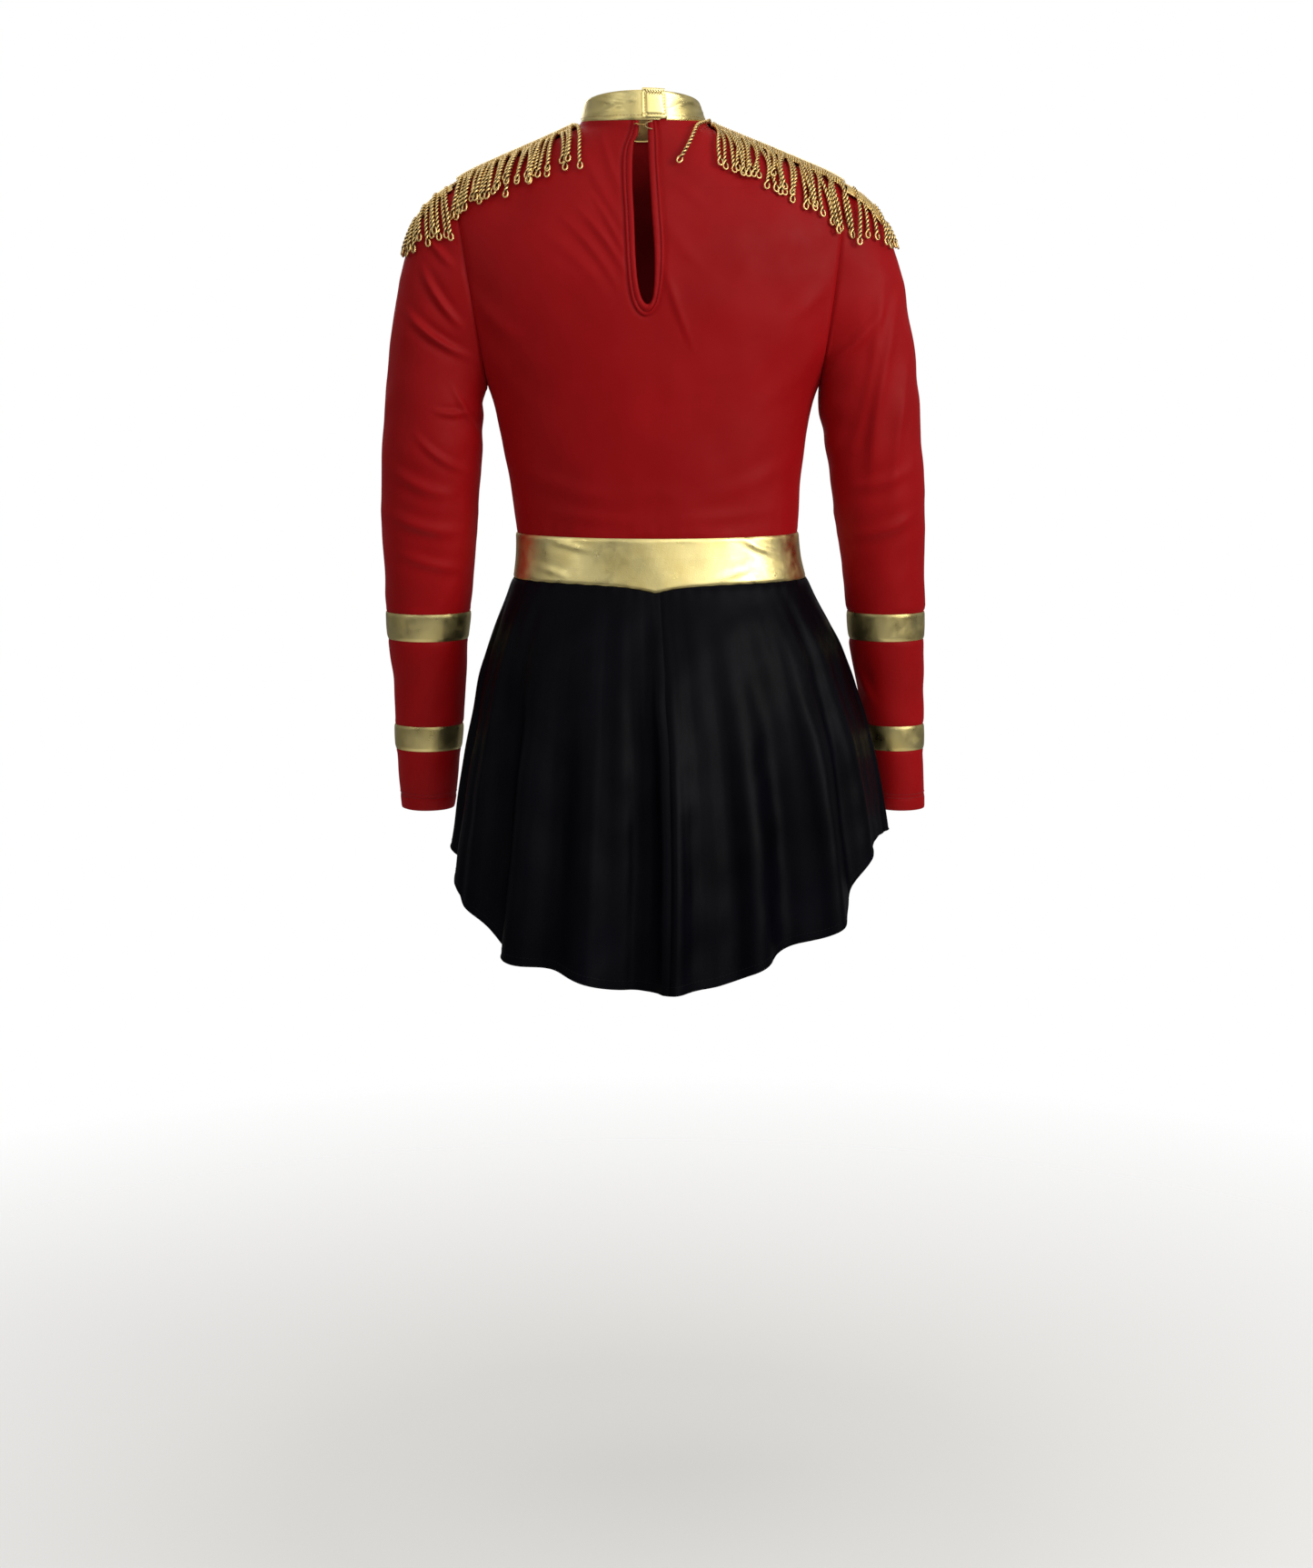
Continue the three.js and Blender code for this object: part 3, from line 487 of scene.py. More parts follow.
def node(nt, kind, **kw):
    n = nt.nodes.new(kind)
    for k, v in kw.items():
        if k.startswith("i_"):
            n.inputs[k[2:].replace("_", " ")].default_value = v
        else:
            setattr(n, k, v)
    return n


def colour_noise(nt, coord, scale, c1, c2, detail=3.0, lo=0.35, hi=0.65):
    t = node(nt, "ShaderNodeTexNoise", i_Scale=scale, i_Detail=detail)
    nt.links.new(coord, t.inputs["Vector"])
    r = node(nt, "ShaderNodeValToRGB")
    r.color_ramp.elements[0].position, r.color_ramp.elements[1].position = lo, hi
    r.color_ramp.elements[0].color, r.color_ramp.elements[1].color = (*c1, 1), (*c2, 1)
    nt.links.new(t.outputs["Fac"], r.inputs["Fac"])
    return t, r


def bump(nt, height, dist, strength, normal=None):
    b = node(nt, "ShaderNodeBump", i_Strength=strength, i_Distance=dist)
    nt.links.new(height, b.inputs["Height"])
    if normal is not None:
        nt.links.new(normal, b.inputs["Normal"])
    return b.outputs["Normal"]


def knit_material(name, c_lo, c_hi, rough, pitch=0.0009, depth=0.00010, sheen=0.25, spec=0.4, tint=None):
    """Fine weft knit: columns of small stitches with painted shade between them, a soft bloom and slow colour drift."""
    m, nt, b = new_mat(name, c_hi, rough, sheen=sheen, sheen_rough=0.45, spec=spec, sheen_tint=tint)
    uv = node(nt, "ShaderNodeUVMap", uv_map="UVMap").outputs["UV"]
    obj = node(nt, "ShaderNodeTexCoord").outputs["Object"]
    _, ramp = colour_noise(nt, obj, 9.0, c_lo, c_hi, 4.0, 0.30, 0.70)
    # painted shade between the knit columns and rows, from the same waves as the stitch bump
    w = node(nt, "ShaderNodeTexWave", wave_type="BANDS", bands_direction="X", wave_profile="SIN")
    w.inputs["Scale"].default_value = 0.31416 / pitch
    w.inputs["Distortion"].default_value = 0.6
    w.inputs["Detail"].default_value = 1.0
    nt.links.new(uv, w.inputs["Vector"])
    w2 = node(nt, "ShaderNodeTexWave", wave_type="BANDS", bands_direction="Y", wave_profile="SIN")
    w2.inputs["Scale"].default_value = 0.31416 / (pitch * 0.8)
    w2.inputs["Distortion"].default_value = 0.6
    nt.links.new(uv, w2.inputs["Vector"])
    mul = node(nt, "ShaderNodeMath", operation="MULTIPLY")
    nt.links.new(w.outputs["Fac"], mul.inputs[0])
    nt.links.new(w2.outputs["Fac"], mul.inputs[1])
    mix = node(nt, "ShaderNodeMixRGB", blend_type="MULTIPLY", i_Fac=0.22)
    nt.links.new(ramp.outputs["Color"], mix.inputs["Color1"])
    nt.links.new(mul.outputs[0], mix.inputs["Color2"])
    nt.links.new(mix.outputs["Color"], b.inputs["Base Color"])
    fz = node(nt, "ShaderNodeTexNoise", i_Scale=900.0, i_Detail=2.0)
    nt.links.new(obj, fz.inputs["Vector"])
    n1 = bump(nt, mul.outputs[0], depth, 0.55)
    n2 = bump(nt, fz.outputs["Fac"], 0.00025, 0.25, n1)
    sl = node(nt, "ShaderNodeTexNoise", i_Scale=38.0, i_Detail=3.0)
    nt.links.new(obj, sl.inputs["Vector"])
    n3 = bump(nt, sl.outputs["Fac"], 0.0022, 0.16, n2)
    nt.links.new(n3, b.inputs["Normal"])
    rr = node(nt, "ShaderNodeMapRange", i_From_Min=0.3, i_From_Max=0.7, i_To_Min=rough - 0.06, i_To_Max=rough + 0.08)
    nt.links.new(sl.outputs["Fac"], rr.inputs["Value"])
    nt.links.new(rr.outputs["Result"], b.inputs["Roughness"])
    return m


def foil_material(name, base, shade, rough=0.33):
    """Foil printed on knit: pebbled metal with tiny cracks along the knit columns."""
    m, nt, b = new_mat(name, base, rough, metal=1.0, spec=0.5)
    uv = node(nt, "ShaderNodeUVMap", uv_map="UVMap").outputs["UV"]
    obj = node(nt, "ShaderNodeTexCoord").outputs["Object"]
    _, ramp = colour_noise(nt, obj, 34.0, shade, base, 2.0, 0.25, 0.62)
    nt.links.new(ramp.outputs["Color"], b.inputs["Base Color"])
    v = node(nt, "ShaderNodeTexVoronoi", feature="F1")
    v.inputs["Scale"].default_value = 1100.0
    nt.links.new(obj, v.inputs["Vector"])
    cr = node(nt, "ShaderNodeTexNoise", i_Scale=90.0, i_Detail=2.0, i_Roughness=0.5)
    nt.links.new(obj, cr.inputs["Vector"])
    w = node(nt, "ShaderNodeTexWave", wave_type="BANDS", bands_direction="X", wave_profile="SIN")
    w.inputs["Scale"].default_value = 0.31416 / 0.0010
    w.inputs["Distortion"].default_value = 1.2
    w.inputs["Detail"].default_value = 2.0
    nt.links.new(uv, w.inputs["Vector"])
    n1 = bump(nt, v.outputs["Distance"], 0.00030, 0.22)
    n2 = bump(nt, w.outputs["Fac"], 0.00006, 0.35, n1)
    n3 = bump(nt, cr.outputs["Fac"], 0.0004, 0.07, n2)
    nt.links.new(n3, b.inputs["Normal"])
    rr = node(nt, "ShaderNodeMapRange", i_From_Min=0.3, i_From_Max=0.7, i_To_Min=rough - 0.07, i_To_Max=rough + 0.12)
    nt.links.new(cr.outputs["Fac"], rr.inputs["Value"])
    nt.links.new(rr.outputs["Result"], b.inputs["Roughness"])
    return m


def crepe_material(name, base, hi):
    m, nt, b = new_mat(name, base, 0.40, sheen=0.0, sheen_rough=0.35, spec=0.052)
    uv = node(nt, "ShaderNodeUVMap", uv_map="UVMap").outputs["UV"]
    obj = node(nt, "ShaderNodeTexCoord").outputs["Object"]
    _, ramp = colour_noise(nt, obj, 14.0, base, hi, 4.0, 0.35, 0.70)
    nt.links.new(ramp.outputs["Color"], b.inputs["Base Color"])
    w = node(nt, "ShaderNodeTexWave", wave_type="BANDS", bands_direction="X", wave_profile="SIN")
    w.inputs["Scale"].default_value = 0.31416 / 0.0008
    w.inputs["Distortion"].default_value = 2.0
    w.inputs["Detail"].default_value = 2.0
    nt.links.new(uv, w.inputs["Vector"])
    g = node(nt, "ShaderNodeTexNoise", i_Scale=1400.0, i_Detail=2.0)
    nt.links.new(obj, g.inputs["Vector"])
    n1 = bump(nt, w.outputs["Fac"], 0.00008, 0.5)
    n2 = bump(nt, g.outputs["Fac"], 0.0003, 0.35, n1)
    nt.links.new(n2, b.inputs["Normal"])
    return m


def cord_material(name, base, shade, rough=0.34):
    """Metallised yarn wound round a core: bright ribs, with painted shade in the valleys between them."""
    m, nt, b = new_mat(name, base, rough, metal=0.92, spec=0.5)
    obj = node(nt, "ShaderNodeTexCoord").outputs["Object"]
    _, ramp = colour_noise(nt, obj, 160.0, shade, base, 3.0, 0.22, 0.50)
    # painted shade in the valleys between the plies: UV v near 0 mixes the colour toward a near-black brown
    uv = node(nt, "ShaderNodeUVMap", uv_map="UVMap").outputs["UV"]
    sx = node(nt, "ShaderNodeSeparateXYZ")
    nt.links.new(uv, sx.inputs[0])
    mx = node(nt, "ShaderNodeMixRGB", blend_type="MIX")
    mx.inputs["Color1"].default_value = (*[c * q for c, q in zip(shade, (0.16, 0.12, 0.09))], 1)
    nt.links.new(sx.outputs["Y"], mx.inputs["Fac"])
    nt.links.new(ramp.outputs["Color"], mx.inputs["Color2"])
    nt.links.new(mx.outputs["Color"], b.inputs["Base Color"])
    g = node(nt, "ShaderNodeTexNoise", i_Scale=1800.0, i_Detail=3.0)
    nt.links.new(obj, g.inputs["Vector"])
    nt.links.new(bump(nt, g.outputs["Fac"], 0.0005, 0.6), b.inputs["Normal"])
    return m


RED = knit_material("red_knit", (0.330, 0.0020, 0.0034), (0.400, 0.0032, 0.0052), 0.54, sheen=0.30, spec=0.12, tint=(1.0, 0.05, 0.06))
# inner faces: a lighter copy of the red knit, painted light that lifts the shade inside the garment; rougher and with
# less sheen than the outer face
RED_IN = knit_material("red_knit_inside", (0.480, 0.010, 0.014), (0.560, 0.014, 0.018), 0.75, sheen=0.1, spec=0.1, tint=(1.0, 0.2, 0.2))
FOIL = foil_material("gold_foil", (0.930, 0.785, 0.345), (0.860, 0.690, 0.260))
BLACK = crepe_material("black_crepe", (0.0010, 0.0010, 0.0020), (0.0020, 0.0020, 0.0040))
BULLION = cord_material("gold_bullion", (1.0, 0.74, 0.31), (0.86, 0.54, 0.17), 0.25)
THREAD_RED = knit_material("red_thread", (0.20, 0.002, 0.004), (0.34, 0.006, 0.009), 0.55, spec=0.2)
THREAD_GOLD = cord_material("gold_thread", (0.55, 0.42, 0.20), (0.30, 0.20, 0.08), 0.5)
THREAD_BLACK = crepe_material("black_thread", (0.006, 0.006, 0.008), (0.014, 0.014, 0.018))
BRASS = cord_material("brass_wire", (0.55, 0.36, 0.12), (0.36, 0.22, 0.07), 0.28)
ELASTIC = knit_material("woven_elastic", (0.008, 0.008, 0.010), (0.018, 0.018, 0.022), 0.8, pitch=0.0016, depth=0.0003, sheen=0.2)
TAPE = knit_material("hook_loop_tape", (0.36, 0.27, 0.12), (0.50, 0.40, 0.20), 0.9, pitch=0.0014, depth=0.0006, sheen=0.5)

# ======================================================================
# Bodice
# ======================================================================
KEY_OUT = np.array([[20.5, 6], [20, -12], [27.5, -35], [28.4, -58], [26.5, -90], [25, -120], [23.8, -140], [22.0, -158], [18.8, -172], [13.5, -181],
                    [7.5, -184.5], [1.0, -182], [-4.2, -174], [-7.6, -160], [-9.8, -140], [-10.2, -118], [-8.5, -92], [-5.5, -50], [-4.5, -22], [-3, -8], [-3, 6]], float)
KEY_IN = np.array([[13.4, 6], [14, -18], [18.5, -30], [19.4, -62], [17.8, -95], [16.6, -128], [14.6, -152], [11.2, -167], [6.5, -173.5],
                   [1.6, -171], [-0.9, -158], [-1.5, -128], [1, -90], [3.5, -50], [4.6, -22], [4.6, 6]], float)


def smooth_line(P, n):
    """Catmull-Rom through the points, n samples, evenly spaced."""
    P = np.asarray(P, float)
    Q = np.vstack([2 * P[0] - P[1], P, 2 * P[-1] - P[-2]])
    out = []
    for i in range(1, len(Q) - 2):
        t = np.linspace(0, 1, 24, endpoint=False)[:, None]
        p0, p1, p2, p3 = Q[i - 1], Q[i], Q[i + 1], Q[i + 2]
        out.append(0.5 * (2 * p1 + (p2 - p0) * t + (2 * p0 - 5 * p1 + 4 * p2 - p3) * t ** 2 + (3 * p1 - p0 - 3 * p2 + p3) * t ** 3))
    C = np.vstack(out + [Q[-2:-1]])
    d = np.concatenate([[0], np.cumsum(np.linalg.norm(np.diff(C, axis=0), axis=1))])
    s = np.linspace(0, d[-1], n)
    return np.stack([np.interp(s, d, C[:, k]) for k in range(P.shape[1])], 1)


def inside(px, pz, poly):
    r = np.zeros(px.shape, bool)
    n = len(poly)
    for i in range(n):
        x1, z1 = poly[i]
        x2, z2 = poly[(i + 1) % n]
        c = ((z1 > pz) != (z2 > pz)) & (px < (x2 - x1) * (pz - z1) / (z2 - z1 + 1e-12) + x1)
        r ^= c
    return r


levels = np.concatenate([np.linspace(-5, -67, 62)[:-1], np.linspace(-67, -200, 100)[:-1], np.linspace(-200, WAIST_TOP, 76)])


def body_detail(P, back):
    """How far the cloth stands off the plain torso shape."""
    x, z = P[..., 0], P[..., 2]
    D = crease(x, z, BACK_CREASES if back else FRONT_CREASES)
    D = D + 0.55 * N1(P, 85) + 0.22 * N2(P, 34)
    # fine gathers just above the waistband
    D = D + 0.35 * np.sin(x / 2.6 + 2 * np.sin(x / 17)) * np.exp(-np.abs(z - WAIST_TOP) / 9)
    return D


def line_gap(px, pz, C):
    """Distance in x and z from each point to a drawn line."""
    q = np.full(px.shape, 1e9)
    for k in range(len(C)):
        q = np.minimum(q, (px - C[k, 0]) ** 2 + (pz - C[k, 1]) ** 2)
    return np.sqrt(q)


def bodice(back, nu=204):
    u = np.linspace(0, 1, nu)[None, :]
    L = levels[:, None]
    a = arm_angle(L)
    th = lerp(a, np.pi - a, u) if back else lerp(-a, -np.pi + a, u)
    P = torso(th, L)
    out = -1.0 if back else 1.0
    N = grid_normals(P) * out
    # distance to each seam
    du = arc(P, 1)
    e = np.minimum(du, du[:, -1:] - du)
    D = body_detail(P, back) * ss(0, 9, e) * ss(0, 6, np.abs(L - WAIST_TOP)) * ss(0, 10, np.abs(L + 5))
    D = D + seam_dip(e, 2.0, 0.8) + seam_dip(np.abs(L - WAIST_TOP), 2.4, 0.7) + seam_dip(np.abs(L + 5), 2.5, 0.6)
    if back:
        g = line_gap(P[..., 0], P[..., 2], smooth_line(KEY_OUT, 200))
        D = D - 1.1 * np.exp(-(g / 1.9) ** 2)
    return P + N * D[..., None], out


Pb, ob = bodice(True)
cxm = (Pb[:-1, :-1] + Pb[1:, 1:]) / 2
mid = (smooth_line(KEY_OUT, 120) + smooth_line(KEY_IN, 120)) / 2
hole = inside(cxm[..., 0], cxm[..., 2], mid) & (cxm[..., 1] > 20)
bodice_back = shell("bodice_back_knit", Pb, ob, thick=0.7, mat=RED, keep=~hole, mat_in=RED_IN)
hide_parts("bodice_back")
Pf, of_ = bodice(False)
bodice_front = shell("bodice_front_knit", Pf, of_, thick=0.7, mat=RED, mat_in=RED_IN)
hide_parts("bodice_front")


def back_y(x, z):
    """Outer face of the bodice back at (x, z)."""
    w, cx, d = table(TORSO, z, 2), table(TORSO, z, 1), table(TORSO, z, 3)
    y = d * np.sqrt(np.clip(1 - ((x - cx) / w) ** 2, 0, 1))
    P = np.stack([x, y, z], -1)
    return y + body_detail(P, True) * ss(0, 10, np.abs(z + 5)) + seam_dip(np.abs(z + 5), 2.5, 0.6)


# binding folded over the raw edge of the keyhole
n = 260
o_, i_ = smooth_line(KEY_OUT, n), smooth_line(KEY_IN, n)
prof = np.array([[0.0, -0.8], [0.03, 0.6], [0.10, 1.45], [0.22, 1.6], [0.31, 1.2], [0.36, 0.55], [0.42, 1.1], [0.55, 1.9], [0.75, 2.1], [0.90, 1.8], [0.99, 0.9],
                 [1.03, -0.1], [1.0, -0.8], [0.9, -1.15], [0.5, -1.15], [0.1, -1.2]])
ring = []
for u, h in prof:
    xz = o_ + (i_ - o_) * u
    z = np.minimum(xz[:, 1], -5.0)
    wob = 0.18 * np.sin(np.arange(n) * 0.9) * (0.4 < u < 1.0)
    tuck = np.exp(-((xz[:, 0] - 3.5) / 4.2) ** 2 - ((xz[:, 1] + 176) / 6.5) ** 2)
    y = back_y(xz[:, 0], z) + h - 0.15 + wob * 0.5 + (h > 0) * tuck * 1.5 * np.sin(np.clip(u, 0, 1) * np.pi) ** 0.5
    ring.append(np.stack([xz[:, 0], y, xz[:, 1]], 1))
R = np.stack(ring, 1)
keep_rows = R[:, 0, 2] < -6.5
keep_rows &= True
R = R[keep_rows]
nb, ns_ = R.shape[:2]
V = R.reshape(-1, 3)
F = quads(nb, ns_, True).tolist()
F.append(list(range(ns_)))
F.append(list(range((nb - 1) * ns_, nb * ns_))[::-1])
binding = make_mesh("keyhole_binding_knit", V, F, uv=np.stack([np.tile(np.arange(ns_), nb) * 0.001, np.repeat(np.arange(nb), ns_) * 0.0015], -1))
binding.data.materials.append(RED)
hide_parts("keyhole_binding")
soup = Soup()
for u in (0.36,):
    xz = (o_ + (i_ - o_) * u)[keep_rows]
    C = np.stack([xz[:, 0], back_y(xz[:, 0], xz[:, 1]) + 0.80, xz[:, 1]], 1)
    stitches(soup, C, 2.3, 0.9, 0.24)
key_stitch = soup.make("keyhole_topstitch", THREAD_RED)

# ======================================================================
# Collar
# ======================================================================
TAB_A, TAB_B = math.acos((-11 - 10) / 58), math.acos((9 - 10) / 58)


def foil_detail(P, amp=1.0):
    """Shallow buckles of foil-stiffened cloth."""
    return amp * (0.13 * N3(P, 34) + 0.012 * N4(P, 11))


def tab_grooves(th, v):
    """Dents pulled by the box stitching and the zigzag of the tab."""
    a0, a1 = TAB_A - 0.035, TAB_B + 0.02
    zz = lerp(0.80, 0.90, np.abs(((th - a0) / (a1 - a0) * 7) % 1 * 2 - 1))
    g = np.exp(-((th - a0) * 29 / 0.7) ** 2) + np.exp(-((th - a1) * 29 / 0.7) ** 2)
    g = g * (v < 0.92) + np.exp(-((v - 0.12) * 22 / 0.7) ** 2) + np.exp(-((v - zz) * 22 / 0.9) ** 2)
    return -0.55 * np.clip(g, 0, 1)


def closed_band(name, fn, a, b, nu, nv, out, thick, mat, amp=1.0, edge=0.5, grooves=None):
    """A double-layer band with rolled edges. fn(th, v) gives the outer face."""
    th = np.linspace(a, b, nu)[None, :]
    v = np.linspace(0, 1, nv)[:, None]
    P = fn(th, v)
    N = grid_normals(P) * out
    dv = arc(P, 0)
    e = np.minimum(dv, dv[-1:] - dv)
    D = foil_detail(P, amp) * ss(0, 4, e) - edge * np.exp(-(e / 0.8) ** 2)
    if grooves:
        D = D + grooves(th, v)
    else:
        D = D + 0.6 * ss(0, 3, e) * (P[..., 1] > 0) * crease(P[..., 0], P[..., 2], [(60, 0, 26, 9, 2.2, 0.8, 1), (52, 13, 24, 4, 2.0, 0.7, -1), (44, 16, 14, 12, 1.8, 0.5, 1),
                                                                              (-16, 4, -46, 15, 2.2, 0.8, -1), (-24, 16, -52, 6, 2.0, 0.7, 1), (-38, 2, -60, 8, 1.8, 0.6, 1)])
    P = P + N * D[..., None]
    return shell(name, P, out, thick=thick, mat=mat), P, N


band, Pc, Nc = closed_band("collar_foil", lambda t, v: collar(t, lerp(-0.07, 1.0, v), 0.0), TAB_A + 0.012, 2 * math.pi + TAB_A - 0.1, 360, 24, 1.0, 1.7, FOIL, 2.4)
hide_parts("collar_band")
tabm, Pt, Nt = closed_band("collar_tab_foil", lambda t, v: collar(t, lerp(0.0, 1.04, v), 4.2), TAB_A, TAB_B - 0.02, 60, 44, -1.0, 1.5, FOIL, 1.8, grooves=tab_grooves)
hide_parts("collar_tab")

BODY = []


def on(body, *objs):
    for o in objs:
        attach(o, body)


on("uniform", bodice_back, bodice_front, binding, key_stitch, band)
on("collar_flap", tabm)

# box stitching of the tab and its zigzag top
soup = Soup()


def tab_pt(th, v, lift=0.35):
    p = collar(th, lerp(0.0, 1.04, v), 4.2 + lift)
    return p


def tab_line(pts, step=0.6, **kw):
    C = np.array([tab_pt(a, v) for a, v in pts])
    stitches(soup, resample(C, step), **kw)


A0, A1 = TAB_A - 0.035, TAB_B + 0.02
tab_line([(A1, 0.10), (A1, 0.88)], length=2.2, gap=0.7, r=0.27)
tab_line([(A0, 0.10), (A0, 0.88)], length=2.2, gap=0.7, r=0.27)
tab_line([(A0, 0.12), (A1, 0.12)], length=2.2, gap=0.7, r=0.27)
zz = []
m = 14
for k in range(m + 1):
    zz.append((lerp(A0, A1, k / m), 0.90 if k % 2 else 0.80))
C = np.array([tab_pt(a, v) for a, v in zz])
soup.add(*tube_arrays(resample(C, 0.5), 0.26, 5))
tab_stitch = soup.make("collar_tab_stitching", THREAD_GOLD)
on("collar_flap", tab_stitch)

# hook and loop patches: a backing with rows of tiny hooks or loops
def patch(name, body, a, b, v0, v1, off, out, thick, rows, bumps, h, nodename, sign):
    th = np.linspace(a, b, 30)[None, :]
    v = np.linspace(v0, v1, 22)[:, None]
    P = collar(th, v, off)
    o = shell(name, P, None, thick=thick, mat=TAPE)
    on(body, o)
    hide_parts(nodename)
    so = Soup()
    for i in range(rows):
        for j in range(bumps):
            tt, vv = lerp(a, b, (j + 0.5) / bumps), lerp(v0, v1, (i + 0.5) / rows)
            p = collar(tt, vv, off + (0 if sign > 0 else -thick))
            d = np.array([p[0] - 10, p[1], 0.0]); d /= np.linalg.norm(d)
            s_ = np.array([-d[1], d[0], 0.0])
            q = np.linspace(0, math.pi, 5)
            C_ = p + np.outer(np.sin(q), d) * h * sign + np.outer(np.cos(q), s_) * 0.3
            so.add(*tube_arrays(C_, 0.09, 4))
    o2 = so.make(name + "_pile", TAPE)
    on(body, o2)


patch("loop_patch_tape", "uniform", TAB_A - 0.13, TAB_B + 0.03, 0.2, 0.8, 1.35, 1, 1.0, 9, 7, 0.25, "collar_loop_patch", 1)
patch("hook_patch_tape", "collar_flap", TAB_A - 0.06, TAB_B + 0.03, 0.22, 0.82, 2.15, 1, 0.45, 9, 8, 0.25, "collar_hook_patch", -1)

# edge stitching along the collar's seam, and the rolled top edge
soup = Soup()
th = np.linspace(TAB_A + 0.05, 2 * math.pi + TAB_A - 0.14, 500)
stitches(soup, collar(th, np.full_like(th, 0.10), 0.25), 2.4, 1.0, 0.22)
collar_stitch = soup.make("collar_seam_stitching", THREAD_GOLD)
on("uniform", collar_stitch)

# hook and thread eye at the head of the keyhole
def wire_piece(name, pts, r, mat, nodename, twist=False):
    C = smooth_line(np.array(pts, float), 60)
    so = Soup()
    if twist:
        T, A, B = frames(C)
        d = np.concatenate([[0], np.cumsum(np.linalg.norm(np.diff(C, axis=0), axis=1))])
        for ph in (0, math.pi):
            w = d / 1.6 * 2 * math.pi + ph
            so.add(*tube_arrays(C + (A * np.cos(w)[:, None] + B * np.sin(w)[:, None]) * r * 0.55, r * 0.6, 6))
    else:
        so.add(*tube_arrays(C, r, 8))
    o = so.make(name, mat)
    on("uniform", o)
    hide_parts(nodename)


wire_piece("neck_hook_wire", [[17.5, 62.2, -10.4], [15.6, 62.9, -9.9], [13.5, 63.2, -10.6], [10.2, 63.3, -11.3], [8.0, 64.4, -11.3], [8.2, 65.6, -11.1], [10.6, 65.9, -11.0], [14.4, 64.8, -11.0]], 0.55, BRASS, "neck_hook")
wire_piece("neck_eye_thread", [[1.0, 62.2, -8.0], [3.4, 62.9, -8.3], [6.2, 63.4, -9.4], [7.7, 63.5, -11.4], [6.2, 63.4, -13.4], [3.4, 62.9, -14.4], [1.0, 62.2, -14.8]], 0.6, THREAD_GOLD, "neck_eye", True)

# ======================================================================
# Waistband
# ======================================================================
def band_pt(th, v, off):
    p = torso(th, lerp(WAIST_TOP, WAIST_BOTTOM, v))
    p[..., 2] -= waist_v(p[..., 0]) * np.clip((v - 0.4) / 0.6, 0, None)
    d = p - np.array([-5.0, 0, 0])
    d[..., 2] = 0
    return p + d / np.linalg.norm(d, axis=-1, keepdims=True) * off


for nm, rng in (("back", (0, math.pi)), ("front", (0, -math.pi))):
    th = np.linspace(rng[0], rng[1], 300)[None, :]
    v = np.linspace(0, 1, 34)[:, None]
    P = band_pt(th, v, 0.9)
    out = facing(P)
    N = grid_normals(P) * out
    dv = arc(P, 0)
    e = np.minimum(dv, dv[-1:] - dv)
    du = arc(P, 1)
    eu = np.minimum(du, du[:, -1:] - du)
    D = foil_detail(P, 1.0) * ss(0, 5, e) + 0.45 * crease(P[..., 0], P[..., 2], [(-85, -392, -118, -408, 3, 1.4, 1), (80, -428, 108, -420, 3, 0.8, 1), (96, -394, 60, -402, 3, 0.7, 0), (-60, -428, -96, -418, 3, 0.8, 0)]) - 0.9 * np.exp(-(e / 1.1) ** 2) + seam_dip(eu, 1.5, 0.6)
    # soft swell of the band between its two seams
    D = D + 0.5 * np.sin(np.clip(v, 0, 1) * np.pi)
    o = shell("waistband_%s_foil" % nm, P + N * D[..., None], out, thick=1.5, mat=FOIL)
    on("uniform", o)
    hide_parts("waistband_" + nm)

th = np.linspace(0, 2 * math.pi, 260, endpoint=False)[None, :]
v = np.linspace(-396, -428, 40)[:, None]
P = torso(th, v)
d = P - np.array([-5.0, 0, 0]); d[..., 2] = 0
P = P + d / np.linalg.norm(d, axis=-1, keepdims=True) * (-2.6 + 0.35 * np.sin(v * 2 * np.pi / 4.0)[..., None])
o = shell("waist_elastic_woven", P, None, wrap=True, thick=1.1, mat=ELASTIC)
on("uniform", o)
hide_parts("waist_elastic")

# ======================================================================
# Skirt
# ======================================================================
def skirt_detail(P, psi, v, t):
    """Soft secondary pleats that start at the waist seam and fade in and out."""
    a = ss(0, 60, t) * (0.35 + 0.65 * ss(40, 260, t))
    ang = 27 * psi + 1.9 * np.sin(3 * psi + 0.8) + 0.5 * v
    w1 = 0.55 * np.sin(ang) + 0.55 * (2.2 * np.abs(np.sin(ang / 2 + np.pi / 4)) - 1.3)
    D = 3.6 * a * (np.abs(w1) ** 0.8 * np.sign(w1)) * (0.6 + 0.4 * np.sin(5 * psi + v * 2.2))
    w2 = np.sin(49 * psi + 2.0 * v + 2 * np.sin(4 * psi))
    D = D + 1.3 * a * w2 * (0.5 + 0.5 * np.sin(7 * psi + 1.0))
    D = D + 0.9 * N1(P, 120) * ss(0, 60, t) + 0.35 * N2(P, 40) * ss(0, 40, t)
    D = D + 0.5 * np.sin(P[..., 0] / 2.2 + 3 * np.sin(P[..., 0] / 23)) * np.exp(-t / 7)
    return D


